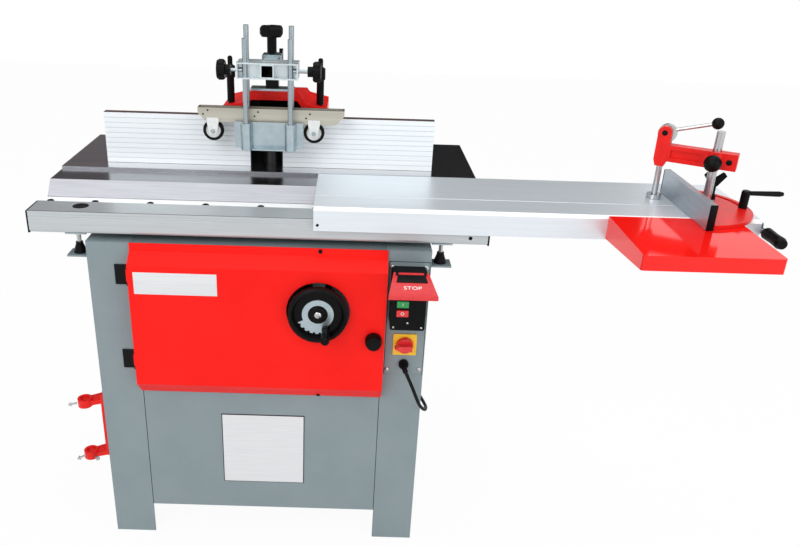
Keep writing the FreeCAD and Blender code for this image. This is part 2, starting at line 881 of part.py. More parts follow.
def switch_plate():
    """Flat plate on the right leg's front flange."""
    plate = block(about(switch_plate_x, switch_plate_width), (plate_front, 0), (switch_plate_low, switch_plate_high))
    return rounded(plate, switch_edge / 2, "y")


def switch_box():
    """Switch housing with button pockets and two lugs for the flap."""
    body = block(about(switch_box_x, switch_box_width), (box_front, plate_front), (switch_box_low, switch_box_high))
    body = rounded(body, switch_edge, "y")
    pockets = []
    for level in (start_button_z, stop_button_z):
        pockets.append(block(about(button_x, button_width + 2 * free_gap),
                             (box_front - overrun, box_front + button_depth + button_travel),
                             about(level, button_height + 2 * free_gap)))
    body = cut(body, *pockets)
    axis_y, axis_z = flap_axis
    for side in (-1, 1):
        middle = switch_box_x + side * (flap_narrow / 2 - flap_lug_width / 2 - flap_lug_width)
        ends = about(middle, flap_lug_width)
        lug = fuse(rod(flap_lug_radius, (ends[0], axis_y, axis_z), (ends[1], axis_y, axis_z)),
                   block(ends, (axis_y, box_front + flap_lug_radius), (axis_z - flap_lug_radius, axis_z)))
        hole = rod(flap_pin_radius + running_fit, (ends[0] - overrun, axis_y, axis_z), (ends[1] + overrun, axis_y, axis_z))
        body = cut(fuse(body, lug), hole)
    return body


def push_button(level):
    """Button that slides into its pocket."""
    body = block(about(button_x, button_width), (box_front - button_proud, box_front + button_depth),
                 about(level, button_height))
    return rounded(body, button_proud * 0.6, "y")


def stop_flap():
    """Flared cover with a rim, hinged on a pin between the lugs, modelled hanging and then opened."""
    axis_y, axis_z = flap_axis
    out = axis_y - flap_lug_radius
    low = axis_z - flap_length
    trapezoid = [(switch_box_x - flap_narrow / 2, axis_z), (switch_box_x - flap_wide / 2, low),
                 (switch_box_x + flap_wide / 2, low), (switch_box_x + flap_narrow / 2, axis_z)]
    shell = prism(trapezoid, "y", (out - flap_thickness, out - flap_thickness + flap_rim))
    hollow = moved_sides(trapezoid, (flap_thickness, flap_thickness, flap_thickness, flap_thickness))
    shell = cut(shell, prism(hollow, "y", (out, out + flap_rim + overrun)))
    for side in (-1, 1):
        middle = switch_box_x + side * (flap_narrow / 2 - flap_lug_width / 2 - flap_lug_width)
        shell = shell.cut(block(about(middle, flap_lug_width + 4 * free_gap), (out - flap_thickness - overrun, 0),
                                (axis_z - 2 * flap_lug_radius, axis_z + overrun)))
    knuckle_half = flap_narrow / 2 - 2 * flap_lug_width - 2 * free_gap
    pin_half = flap_narrow / 2 - flap_lug_width
    knuckle = fuse(
        rod(flap_lug_radius, (switch_box_x - knuckle_half, axis_y, axis_z), (switch_box_x + knuckle_half, axis_y, axis_z)),
        block(about(switch_box_x, 2 * knuckle_half), (out - flap_thickness, axis_y),
              (axis_z - flap_lug_radius, axis_z)))
    pin = rod(flap_pin_radius, (switch_box_x - pin_half, axis_y, axis_z), (switch_box_x + pin_half, axis_y, axis_z))
    return turn(fuse(shell, knuckle, pin), (switch_box_x, axis_y, axis_z), (1, 0, 0), -flap_open_angle)


def isolator_plate():
    """Square base plate of the isolator with its pivot hole."""
    front = plate_front - isolator_thickness
    plate = block(about(switch_plate_x, isolator_size), (front, plate_front), about(isolator_z, isolator_size))
    hole = rod(isolator_pin_radius + running_fit, (switch_plate_x, front - overrun, isolator_z),
               (switch_plate_x, plate_front + overrun, isolator_z))
    return cut(rounded(plate, switch_edge / 2, "y"), hole)


def isolator_knob():
    """Turning knob: a round skirt, a pivot pin and a long grip bar with a pointer end."""
    base = (switch_plate_x, plate_front - isolator_thickness - free_gap, isolator_z)
    skirt = turned([(0, 0), (isolator_knob_radius, 0), (isolator_knob_radius * 0.9, isolator_knob_height),
                    (0, isolator_knob_height)], base, (0, -1, 0))
    pin = rod(isolator_pin_radius, base, (switch_plate_x, plate_front, isolator_z))
    back = base[1] - isolator_knob_height
    half = isolator_grip_width / 2
    grip = [(switch_plate_x - isolator_knob_radius * 1.2, isolator_z), (switch_plate_x - isolator_knob_radius * 0.6,
            isolator_z - half), (switch_plate_x + isolator_knob_radius * 0.8, isolator_z - half),
            (switch_plate_x + isolator_knob_radius * 0.8, isolator_z + half),
            (switch_plate_x - isolator_knob_radius * 0.6, isolator_z + half)]
    return fuse(skirt, pin, prism(grip, "y", (back - isolator_grip_height, back + isolator_knob_height * 0.5)))


def cable_gland():
    """Gland with a nut, a dome and a bent sleeve that leads the cord down."""
    shares = ((0.0, 0.0), (1.0, 0.0), (1.0, 0.7), (0.8, 1.0), (0.0, 1.0))
    profile = [(gland_radius * across, gland_length * up) for across, up in shares]
    nut = turned(profile, (switch_plate_x, plate_front, gland_z), (0, -1, 0))
    leave = V(*cord_route[0])
    back = (leave - V(*cord_route[1])).normalize()
    inside = V(switch_plate_x, plate_front - gland_length / 2, gland_z)
    return fuse(nut, swept([arc_edge(leave, back, inside)], gland_sleeve_radius))


def support_bracket():
    """Upright plate on the left side with two arms that end in clamp rings."""
    outside = -half_width
    plate_x = (outside - bracket_plate_thickness, outside)
    plate_y = (bracket_setback, bracket_setback + bracket_plate_depth)
    body = rounded(block(plate_x, plate_y, (bracket_low, bracket_high)), bracket_plate_thickness / 2, "x")
    centre = (outside - bracket_ring_reach, bracket_setback)
    for high in (bracket_low + bracket_ring_drop, bracket_high - bracket_ring_drop / 2):
        ends = (high - bracket_ring_height, high)
        arm = prism([(plate_x[1], plate_y[0]), (plate_x[1], plate_y[1]), (plate_x[0], plate_y[1]),
                     (centre[0], centre[1] + bracket_ring_radius * 0.8),
                     (centre[0], centre[1] - bracket_ring_radius * 0.8), (plate_x[0], plate_y[0])], "z",
                    about(sum(ends) / 2, bracket_arm_thickness))
        collar = rod(bracket_ring_radius, (*centre, ends[0]), (*centre, ends[1]))
        bore = rod(bracket_bore_radius, (*centre, ends[0] - overrun), (*centre, ends[1] + overrun))
        body = cut(fuse(body, arm, collar), bore)
    return body


def table():
    """Cast table: slab with a stepped and bevelled front, edge ribs, a skirt on the cabinet, bore and slots."""
    low = table_top - table_thickness
    across = about(0, table_length)
    profile = [(table_back, low), (table_back, table_top), (table_front, table_top),
               (table_front, table_top - ledge_drop), (ledge_front, table_top - ledge_drop), (bevel_front, bevel_low),
               (bevel_front, lip_low), (lip_back, lip_low), (lip_back, low)]
    slab = prism(profile, "x", across)
    rib_low = low - edge_rib_depth
    ribs = [
        block(across, (table_back - edge_rib, table_back), (rib_low, low)),
        block((across[0], across[0] + edge_rib), (bevel_front, table_back), (rib_low, low)),
        block((across[1] - edge_rib, across[1]), (bevel_front, table_back), (rib_low, low))]
    outer = block(about(0, 2 * skirt_half_length), (skirt_front, skirt_back), (cabinet_height, low))
    inner = block(about(0, 2 * (skirt_half_length - skirt_wall)), (skirt_front + skirt_wall, skirt_back - skirt_wall),
                  (cabinet_height - overrun, low))
    over_bevel = prism([(bevel_front - overrun, bevel_low), (bevel_front, bevel_low),
                        (ledge_front, table_top - ledge_drop), (ledge_front, table_top),
                        (bevel_front - overrun, table_top)], "x", across)
    below = [cut(piece, over_bevel) for piece in (*ribs, cut(outer, inner))]
    body = fuse(slab, *below)
    centre = (0, spindle_y)
    ring_low = table_top - table_ring_thickness
    wide = rod(table_bore_radius, (*centre, ring_low), (*centre, table_top + overrun))
    through = rod(table_bore_radius - table_ring_seat, (*centre, low - overrun), (*centre, table_top + overrun))
    slots = []
    for side in (-1, 1):
        middle = hood_x + side * handle_half_spacing
        slot = block(about(middle, hood_slot_width), (hood_slot_back - hood_slot_length, hood_slot_back),
                     (low - overrun, table_top + overrun))
        slots.append(rounded(slot, hood_slot_width * 0.45, "z"))
    return cut(body, wide, through, *slots)


def table_rings():
    """Two loose insert rings, one inside the other, flush with the table top."""
    centre = (0, spindle_y)
    low = table_top - table_ring_thickness
    outer = turned([(table_ring_split, table_ring_thickness), (table_ring_split, table_ring_thickness / 2),
                    (table_ring_split - table_ring_seat / 2, table_ring_thickness / 2),
                    (table_ring_split - table_ring_seat / 2, 0), (table_bore_radius - free_gap, 0),
                    (table_bore_radius - free_gap, table_ring_thickness)], (*centre, low), (0, 0, 1))
    inner = ring(table_ring_split - free_gap, table_ring_inner, (*centre, low + table_ring_thickness / 2),
                 (*centre, table_top))
    return Part.makeCompound([outer, inner])


def rail():
    """Hollow guide rail with a middle web, two grooves in its face and a rear flange against the table's lip."""
    across = about(0, rail_length)
    body = block(across, (0, rail_depth), (rail_low, rail_high))
    body = rounded(body, rail_corner, "x", lambda middle: middle.y < rail_wall and middle.z < rail_low + rail_wall)
    flange = block(across, (rail_depth - rail_wall, bevel_front), (rail_flange_low, rail_flange_high))
    body = fuse(body, flange)
    web_y = rail_depth * rail_web_share
    height = (rail_low + rail_wall, rail_high - rail_wall)
    past = (across[0] - overrun, across[1] + overrun)
    front_room = rounded(block(past, (rail_wall, web_y - rail_wall / 2), height), rail_corner - rail_wall, "x",
                         lambda middle: middle.y < 2 * rail_wall and middle.z < rail_low + 2 * rail_wall)
    rooms = [front_room, block(past, (web_y + rail_wall / 2, rail_depth - rail_wall), height)]
    grooves = []
    for level in rail_groove_levels:
        grooves.append(block(past, (-overrun, rail_groove_depth), about(rail_high - level, rail_groove_width)))
    return cut(body, *rooms, *grooves)


slider_back = table_front - slider_gap
slider_low = table_top - slider_plate


def sliding_table():
    """Aluminium profile: top plate, bevelled front skirt, ribs with glides over the rail and closed ends."""
    across = (slider_left, slider_right)
    front = slider_front
    profile = [(slider_back, slider_low), (slider_back, table_top), (front + slider_bevel, table_top),
               (front, table_top - slider_bevel), (front, slider_skirt_low),
               (front + slider_skirt_thickness, slider_skirt_low), (front + slider_skirt_thickness, slider_low)]
    body = prism(profile, "x", across)
    glide_low = rail_high + free_gap
    for middle in (glide_inset + glide_width / 2, rail_depth - glide_inset - glide_width / 2):
        rib = block(across, about(middle, rib_thickness), (glide_low + glide_height, slider_low))
        glide = block(across, about(middle, glide_width), (glide_low, glide_low + glide_height))
        body = fuse(body, rib, glide)
    for end in ((across[0], across[0] + rib_thickness), (across[1] - rib_thickness, across[1])):
        body = fuse(body, block(end, (front + slider_skirt_thickness, rail_depth - glide_inset), (glide_low, slider_low)))
    groove = block((across[0] - overrun, across[1] + overrun), about(slider_groove_y, slider_groove_width),
                   (table_top - slider_groove_depth, table_top + overrun))
    pin_hole = rod(mitre_pin_radius + running_fit, (mitre_x, mitre_y, slider_low - overrun),
                   (mitre_x, mitre_y, table_top + overrun))
    stud = lever_place()
    stud_hole = rod(lever_stud_radius + running_fit, (*stud, slider_low - overrun), (*stud, table_top + overrun))
    return cut(body, groove, pin_hole, stud_hole)


def tray():
    """Folded outrigger tray, open below, with sides that are deeper at the back."""
    sides = [(slider_front, table_top), (tray_front, table_top), (tray_front, table_top - tray_front_depth),
             (slider_front, table_top - tray_back_depth)]
    inner = moved_sides(sides, (tray_sheet, tray_sheet, -overrun, tray_sheet))
    across = (tray_left, tray_right)
    room = prism(inner, "x", (tray_left + tray_sheet, tray_right - tray_sheet))
    body = rounded(prism(sides, "x", across), 2 * tray_sheet, "z", lambda middle: middle.y < tray_front + tray_sheet)
    return cut(body, room)


def push_grip():
    """Plate on the sliding table's end with a steel rod that carries a round grip."""
    plate_x = (slider_right, slider_right + grip_plate_thickness)
    plate_y = (slider_front, slider_front + grip_plate_width)
    plate = block(plate_x, plate_y, (rail_high + slider_gap, slider_low))
    along = grip_x + grip_rod_radius
    bar = rod(grip_rod_radius, (along, plate_y[1], grip_z), (along, grip_back, grip_z))
    length = grip_back - grip_front
    shares = ((0.75, 0.0), (1.0, 0.08), (0.92, 0.5), (1.0, 0.88), (0.8, 1.0))
    profile = [(0, 0)] + [(grip_radius * across, length * up) for across, up in shares] + [(0, length)]
    return fuse(plate, bar, turned(profile, (along, grip_back, grip_z), (0, -1, 0)))

mitre_low = table_top + free_gap
mitre_high = mitre_low + mitre_thickness


def around_mitre(radius, angle):
    """Place at a radius and an angle about the mitre's pivot."""
    return (mitre_x + radius * math.cos(math.radians(angle)), mitre_y + radius * math.sin(math.radians(angle)))


def lever_place():
    """Place of the clamping lever's stud, at the near end of the arc slot."""
    return around_mitre(mitre_slot_radius, -mitre_slot_margin)


def arc_slot():
    """Cutter for the slot that the lever's stud stands in while the mitre swings."""
    half = mitre_slot_width / 2
    centre = (mitre_x, mitre_y)
    band = ring(mitre_slot_radius + half, mitre_slot_radius - half, (*centre, mitre_low - overrun),
                (*centre, mitre_high + overrun))
    first = -mitre_slot_margin
    last = mitre_swing - mitre_slot_margin
    wedge = [centre, around_mitre(2 * mitre_radius, first), around_mitre(2 * mitre_radius, (first + last) / 2),
             around_mitre(2 * mitre_radius, last)]
    band = band.common(prism(wedge, "z", (mitre_low - overrun, mitre_high + overrun)))
    ends = []
    for angle in (first, last):
        spot = around_mitre(mitre_slot_radius, angle)
        ends.append(rod(half, (*spot, mitre_low - overrun), (*spot, mitre_high + overrun)))
    return fuse(band, *ends)


def mitre_plate():
    """Half-round swivel plate with a pivot pin, an arc slot and holes for what stands on it."""
    centre = (mitre_x, mitre_y)
    disc = rod(mitre_radius, (*centre, mitre_low), (*centre, mitre_high))
    keep = block((mitre_x - mitre_edge, mitre_x + 2 * mitre_radius), about(mitre_y, 3 * mitre_radius),
                 (mitre_low - overrun, mitre_high + overrun))
    pin = rod(mitre_pin_radius, (*centre, slider_low), (*centre, mitre_low))
    holes = []
    for spot, radius in (((wing_x, wing_y), wing_stem_radius), ((column_x, column_y), column_radius)):
        holes.append(rod(radius + running_fit, (*spot, mitre_low - overrun), (*spot, mitre_high + overrun)))
    return cut(fuse(disc.common(keep), pin), arc_slot(), *holes)


def mitre_fence():
    """Fence bar that stands beside the plate's straight edge and steps over it, with a slot along its back."""
    face = mitre_x - mitre_fence_back
    edge = mitre_x - mitre_edge - free_gap
    far = face + mitre_fence_thickness
    profile = [(face, mitre_low + thin_gap), (edge, mitre_low + thin_gap), (edge, mitre_high), (far, mitre_high),
               (far, mitre_fence_high), (face, mitre_fence_high)]
    bar = prism(profile, "y", (mitre_fence_front, mitre_fence_far))
    middle = (mitre_high + mitre_fence_high) / 2
    slot = block((far - mitre_fence_slot, far + overrun), (mitre_fence_front - overrun, mitre_fence_far + overrun),
                 about(middle, mitre_fence_slot))
    return cut(bar, slot)


def mitre_lever():
    """Clamping lever: a stud through the slot, a hub and an arm with a thicker end."""
    x, y = lever_place()
    base = mitre_high + free_gap
    arm_z = base + lever_hub_height - lever_arm_radius
    hub = turned([(0, 0), (lever_hub_radius, 0), (lever_hub_radius, lever_hub_height * 0.9),
                  (lever_hub_radius * 0.8, lever_hub_height), (0, lever_hub_height)], (x, y, base), (0, 0, 1))
    stud = rod(lever_stud_radius, (x, y, slider_low), (x, y, base))
    arm = turned([(0, 0), (lever_arm_radius * 0.8, 0), (lever_arm_radius, lever_arm_length * 0.9),
                  (lever_arm_radius * 0.7, lever_arm_length), (0, lever_arm_length)], (x, y, arm_z), (1, 0, 0))
    return fuse(hub, stud, arm)


def wing_knob():
    """Stem in the swivel plate with a two-winged head."""
    base = mitre_high + free_gap
    top = base + wing_stem_height
    stem = rod(wing_stem_radius, (wing_x, wing_y, mitre_low), (wing_x, wing_y, top))
    collar = rod(wing_stem_radius * 1.5, (wing_x, wing_y, base), (wing_x, wing_y, base + wing_stem_height * 0.3))
    half = wing_span / 2
    wing = [(wing_x - wing_stem_radius, top - wing_stem_radius), (wing_x + wing_stem_radius, top - wing_stem_radius),
            (wing_x + half, top + wing_height * 0.7), (wing_x + half * 0.75, top + wing_height),
            (wing_x, top + wing_height * 0.45), (wing_x - half * 0.75, top + wing_height),
            (wing_x - half, top + wing_height * 0.7)]
    return fuse(stem, collar, prism(wing, "y", about(wing_y, wing_thickness)))


def clamp_column():
    """Round column that swivels on the mitre plate, with a foot collar."""
    base = mitre_high + free_gap
    spot = (column_x, column_y)
    column = rod(column_radius, (*spot, mitre_low), (*spot, column_high))
    return fuse(column, rod(column_foot_radius, (*spot, base), (*spot, base + column_foot_height)))


def in_arm(shape):
    """Shape modelled with the arm along +X from the column at zero, moved to its place."""
    return shift(turn(shape, (0, 0, 0), (0, 0, 1), arm_angle), column_x, column_y, 0)


def clamp_arm():
    """Cast arm: boss on the column, slit tail with a pinch hole, web and a forked head with a cam pin."""
    reach = arm_head_reach
    half = head_width / 2
    boss = rod(arm_width / 2 + rib_thickness, (0, 0, arm_low), (0, 0, arm_high))
    middle = (arm_low + arm_high) / 2
    beam = prism([(-arm_tail_reach, arm_low), (reach, arm_low), (reach, arm_high), (-arm_tail_reach, arm_high)], "y",
                 about(0, arm_width))
    flute = arm_width * 0.25
    depth = (arm_high - arm_low) * 0.5
    run = (arm_width / 2 + 2 * rib_thickness, reach - half - rib_thickness)
    flutes = [block(run, (arm_width / 2 - flute, arm_width), about(middle, depth)),
              block(run, (-arm_width, -arm_width / 2 + flute), about(middle, depth))]
    neck = press_rod_radius + head_neck_wall
    taper_high = head_low + head_taper
    sides = [(reach - half, head_pivot_z), (reach - half, taper_high), (reach - neck, head_low),
             (reach + neck, head_low), (reach + half, taper_high), (reach + half, head_pivot_z)]
    head = prism(sides, "y", about(0, head_width))
    crown = rod(head_radius, (reach, -half, head_pivot_z), (reach, half, head_pivot_z))
    arm = fuse(cut(fuse(boss, beam), *flutes), head, crown)
    cam_room = block((reach - 2 * cam_radius, reach + 2 * cam_radius), about(0, cam_width + 2 * free_gap),
                     (head_pivot_z - cam_offset - cam_radius - thin_gap, head_pivot_z + 2 * cam_radius))
    bores = [
        rod(column_radius + running_fit, (0, 0, arm_low - overrun), (0, 0, arm_high + overrun)),
        rod(press_rod_radius + running_fit, (reach, 0, head_low - overrun), (reach, 0, head_pivot_z)),
        block((-arm_tail_reach - overrun, -column_radius), about(0, arm_slit), (arm_low - overrun, arm_high + overrun)),
        rod(arm_pinch_radius, (-arm_tail_reach * 0.65, -arm_width, middle), (-arm_tail_reach * 0.65, arm_width, middle)),
        rod(arm_knob_stud_radius + running_fit, (0, 0, middle), (0, 2 * arm_width, middle))]
    pin = rod(cam_pin_radius, (reach, -half, head_pivot_z), (reach, half, head_pivot_z))
    return in_arm(fuse(cut(arm, cam_room, *bores), pin))


def arm_knob():
    """Ball knob with the stud that clamps the arm on the column."""
    middle = (arm_low + arm_high) / 2
    stud = rod(arm_knob_stud_radius, (0, column_radius + free_gap, middle), (0, arm_knob_reach, middle))
    return in_arm(fuse(stud, ball(arm_knob_radius, (0, arm_knob_reach, middle), (0, 1, 0))))


def cam_lever():
    """Eccentric disc on the head's pin with a rod and a ball at its end, over the column."""
    reach = arm_head_reach
    angle = math.radians(180 - cam_offset_angle)
    middle = (reach + cam_offset * math.cos(angle), head_pivot_z - cam_offset * math.sin(math.radians(-cam_offset_angle)))
    disc = rod(cam_radius, (middle[0], -cam_width / 2, middle[1]), (middle[0], cam_width / 2, middle[1]))
    end = (reach - cam_lever_reach, 0, head_pivot_z + cam_lever_rise)
    lever = fuse(disc, rod(cam_rod_radius, (reach - cam_radius / 2, 0, head_pivot_z + cam_rod_radius), end),
                 ball(cam_ball_radius, end, (cam_lever_reach, 0, -cam_lever_rise)))
    bore = rod(cam_pin_radius + running_fit, (reach, -cam_width, head_pivot_z), (reach, cam_width, head_pivot_z))
    return in_arm(cut(lever, bore))


def press_rod():
    """Clamp rod under the eccentric with a round foot on the table."""
    reach = arm_head_reach
    low = table_top + free_gap
    high = head_pivot_z - cam_offset * math.sin(math.radians(-cam_offset_angle)) - cam_radius - free_gap
    shaft = rod(press_rod_radius, (reach, 0, low), (reach, 0, high))
    foot = rod(press_foot_radius, (reach, 0, low), (reach, 0, low + press_foot_height))
    return in_arm(fuse(shaft, foot))

fence_low = table_top + thin_gap
hood_front = fence_face_y + fence_thickness + free_gap
hood_low = table_top + free_gap


def fence_board(ends):
    """Fence board with fine grooves along its face."""
    board = block(ends, (fence_face_y, fence_face_y + fence_thickness), (fence_low, fence_high))
    grooves = []
    pitch = (fence_high - fence_low) / (fence_groove_count + 1)
    for index in range(fence_groove_count):
        grooves.append(block((ends[0] - overrun, ends[1] + overrun),
                             (fence_face_y - overrun, fence_face_y + fence_groove_depth),
                             about(fence_low + pitch * (index + 1), fence_groove_width)))
    return cut(board, *grooves)


def hood():
    """Hollow cast hood: wings, a raised middle, an open front for the cutter and a round outlet behind."""
    left = hood_x - hood_half_width
    right = hood_x + hood_half_width
    profile = [(left, hood_low), (right, hood_low), (right, hood_edge_high), (hood_x + hood_step_half, hood_wing_high),
               (hood_x + hood_top_half, hood_top), (hood_x - hood_top_half, hood_top),
               (hood_x - hood_step_half, hood_wing_high), (left, hood_edge_high)]
    flank = [(hood_front, hood_low), (hood_back, hood_low), (hood_back, hood_back_high),
             (hood_front + hood_flat_depth, hood_top), (hood_front, hood_top)]
    walls = [-overrun] + [hood_wall] * (len(profile) - 1)
    shell = prism(profile, "y", (hood_front, hood_back)).common(prism(flank, "x", (left, right)))
    room = prism(moved_sides(profile, walls), "y", (hood_front + hood_wall, hood_back - hood_wall))
    room = room.common(prism(moved_sides(flank, walls[:len(flank)]), "x", (left, right)))
    mouth_half = hood_step_half - 2 * hood_wall
    mouth_side = hood_wing_high - hood_brow / 2
    mouth_high = hood_top - hood_brow
    mouth = prism([(hood_x - mouth_half, hood_low - overrun), (hood_x + mouth_half, hood_low - overrun),
                   (hood_x + mouth_half, mouth_side), (hood_x + hood_top_half, mouth_high),
                   (hood_x - hood_top_half, mouth_high), (hood_x - mouth_half, mouth_side)],
                  "y", (hood_front - overrun, hood_front + 2 * hood_wall))
    back = (hood_x, hood_back - hood_wall, outlet_z)
    end = (hood_x, hood_back + outlet_length, outlet_z)
    outlet = rod(outlet_radius, back, end)
    duct = rod(outlet_radius - outlet_wall, (hood_x, hood_back - 2 * hood_wall, outlet_z),
               (hood_x, hood_back + outlet_length + overrun, outlet_z))
    studs = []
    for side in (-1, 1):
        spot = (hood_x + side * handle_half_spacing, handle_y)
        studs.append(rod(handle_stud_radius + running_fit, (*spot, hood_edge_high - 3 * hood_wall), (*spot, hood_top)))
    return cut(fuse(cut(shell, room, mouth), outlet), duct, *studs)


def hood_handle(side):
    """Tall clamp handle on a hood wing: stem, sleeve and thin tip over a stud with a nut below the table."""
    spot = (hood_x + side * handle_half_spacing, handle_y)
    base = hood_edge_high + (hood_wing_high - hood_edge_high) * 0.6
    length = handle_high - base
    profile = [(0, 0), (handle_stem_radius, 0), (handle_stem_radius, length * 0.52),
               (handle_sleeve_radius, length * 0.55), (handle_sleeve_radius, length * 0.78),
               (handle_tip_radius, length * 0.82), (handle_tip_radius, length * 0.97),
               (handle_tip_radius * 0.6, length), (0, length)]
    low = table_top - table_thickness
    stud = rod(handle_stud_radius, (*spot, low - table_ring_thickness), (*spot, base))
    nut = rod(handle_stud_radius * 1.5, (*spot, low - free_gap - table_ring_thickness), (*spot, low - free_gap))
    return fuse(turned(profile, (*spot, base), (0, 0, 1)), stud, nut)


def press_post():
    """Base strip on the hood, a block and the square sleeve that holds the tube."""
    strip = block(about(press_x, post_base_width), (hood_front, hood_front + sleeve_back - sleeve_front),
                  (hood_top, hood_top + post_base_thickness))
    low = press_z - sleeve_size / 2
    neck = block(about(press_x, post_width), (hood_front, sleeve_back), (hood_top, low + tube_wall))
    sleeve = block(about(press_x, sleeve_size), (sleeve_front, sleeve_back), about(press_z, sleeve_size))
    sleeve = rounded(sleeve, tube_wall, "y")
    hole = block(about(press_x, tube_size + 2 * free_gap), (sleeve_front - overrun, sleeve_back + overrun),
                 about(press_z, tube_size + 2 * free_gap))
    spot = (press_x, (sleeve_front + sleeve_back) / 2)
    stud_hole = rod(top_stud_radius + running_fit, (*spot, press_z), (*spot, press_z + sleeve_size))
    stop = block((press_x + tube_size / 2 + free_gap, press_x + sleeve_size / 2 + tube_wall),
                 (sleeve_back, sleeve_back + stop_thickness), (press_z - tube_size / 2, press_z + stop_rise))
    return cut(fuse(strip, neck, sleeve, stop), hole, stud_hole)


def rod_spots(y):
    """Places of a pair of guide rods."""
    return [(press_x + side * press_rod_half_spacing, y) for side in (-1, 1)]


def press_tube():
    """Square tube with two welded channels that guide the rods."""
    body = block(about(press_x, tube_size), (tube_front, tube_back), about(press_z, tube_size))
    tools = [block(about(press_x, tube_size - 2 * tube_wall), (tube_front - overrun, tube_back + overrun),
                   about(press_z, tube_size - 2 * tube_wall))]
    for start, rods_y in ((front_channel_y, front_rod_y), (rear_channel_y, rear_rod_y)):
        across = about(press_x, 2 * channel_half_length)
        depth = (start, start + channel_depth)
        shell = block(across, depth, about(press_z, channel_height))
        inner = block((across[0] + channel_sheet, across[1] - channel_sheet),
                      (depth[0] - overrun, depth[1] - channel_sheet), about(press_z, channel_height - 2 * channel_sheet))
        body = fuse(body, cut(shell, inner))
        for spot in rod_spots(rods_y):
            tools.append(rod(guide_rod_radius + running_fit, (*spot, press_z - channel_height),
                             (*spot, press_z + channel_height)))
    for end in (-1, 1):
        tools.append(rod(side_stud_radius + running_fit,
                         (press_x + end * (channel_half_length - 2 * channel_sheet), front_rod_y, press_z),
                         (press_x + end * (channel_half_length + overrun), front_rod_y, press_z)))
    return cut(body, *tools)


def press_shoe():
    """Press shoe on the two front rods: centre plate, folded wings, sockets and a bottom flange."""
    back = (shoe_back - shoe_sheet, shoe_back)
    plate = block(about(press_x, 2 * shoe_half_length), back, (shoe_low, shoe_high))
    flange = block(about(press_x, 2 * shoe_plate_half), (shoe_front, shoe_back), (shoe_low, shoe_low + shoe_sheet))
    parts = [flange]
    for spot in rod_spots(front_rod_y):
        parts.append(rod(shoe_socket_radius, (*spot, shoe_low), (*spot, shoe_high)))
        parts.append(block(about(spot[0], 2 * guide_rod_radius), (spot[1], shoe_back), (shoe_low, shoe_high)))
        parts.append(rod(guide_rod_radius, (*spot, shoe_low), (*spot, front_rod_high)))
    return fuse(plate, *parts)


def press_bar():
    """Open-topped press bar on the two rear rods, with chamfered ends, wheel wells and castor arms."""
    profile = [(bar_left, bar_high), (bar_left, bar_low + bar_chamfer), (bar_left + bar_chamfer, bar_low),
               (bar_right - bar_chamfer, bar_low), (bar_right, bar_low + bar_chamfer), (bar_right, bar_high)]
    walls = [bar_sheet] * (len(profile) - 1) + [-overrun]
    room = prism(moved_sides(profile, walls), "y", (bar_front + bar_sheet, bar_back - bar_sheet))
    body = cut(prism(profile, "y", (bar_front, bar_back)), room)
    castor_back = castor_front + castor_width
    wells = []
    for x in castor_places:
        chord = castor_radius * 1.2
        wells.append(block(about(x, chord), (castor_front - thin_gap, castor_back + thin_gap),
                           (bar_low - overrun, bar_low + bar_sheet + overrun)))
        arm = block(about(x, 4 * castor_pin_radius), (castor_back + free_gap, castor_back + free_gap + bar_sheet),
                    (castor_z - 2 * castor_pin_radius, bar_low + bar_sheet))
        fork_low = castor_z - 2 * castor_pin_radius
        fork = prism([(x - fork_half, bar_low + bar_chamfer / 2), (x - fork_half, bar_low),
                      (x - 2 * castor_pin_radius, fork_low), (x + 2 * castor_pin_radius, fork_low),
                      (x + fork_half, bar_low), (x + fork_half, bar_low + bar_chamfer / 2)],
                     "y", (bar_front - bar_sheet, bar_front))
        pin = rod(castor_pin_radius, (x, bar_front - bar_sheet, castor_z), (x, castor_back + bar_sheet, castor_z))
        body = fuse(body, arm, fork, pin)
    body = cut(body, *wells)
    for spot in rod_spots(rear_rod_y):
        body = fuse(body, rod(guide_rod_radius + bar_sheet, (*spot, bar_low), (*spot, bar_high - bar_sheet)),
                    rod(guide_rod_radius, (*spot, bar_low), (*spot, rear_rod_high)))
    return body


def castor(x):
    """Castor wheel with a tyre, a dished web and a hub on its pin."""
    half = castor_width / 2
    bore = castor_pin_radius + running_fit
    hub = castor_radius * 0.35
    rim = castor_radius * 0.7
    shoulder = castor_radius * 0.92
    profile = [(bore, -half), (hub, -half), (hub, -half * 0.5), (rim, -half * 0.5), (rim, -half), (shoulder, -half),
               (castor_radius, -half * 0.5), (castor_radius, half * 0.5), (shoulder, half), (rim, half),
               (rim, half * 0.5), (hub, half * 0.5), (hub, half), (bore, half)]
    return turned(profile, (x, castor_front + half, castor_z), (0, 1, 0))


def side_knob(side, stud_length):
    """Star knob with the stud that locks a front rod."""
    near = press_x + side * (press_rod_half_spacing + guide_rod_radius + free_gap)
    head = press_x + side * (channel_half_length + stud_length)
    stud = rod(side_stud_radius, (near, front_rod_y, press_z), (head, front_rod_y, press_z))
    star = star_head(side_knob_radius, side_knob_height * 0.6, knob_lobes, knob_scallop_share)
    neck = rod(side_knob_radius * 0.5, (0, 0, 0), (0, 0, side_knob_height * 0.5))
    grip = fuse(shift(star, 0, 0, side_knob_height * 0.4), neck)
    return fuse(stud, aimed(grip, (head, front_rod_y, press_z), (side, 0, 0)))


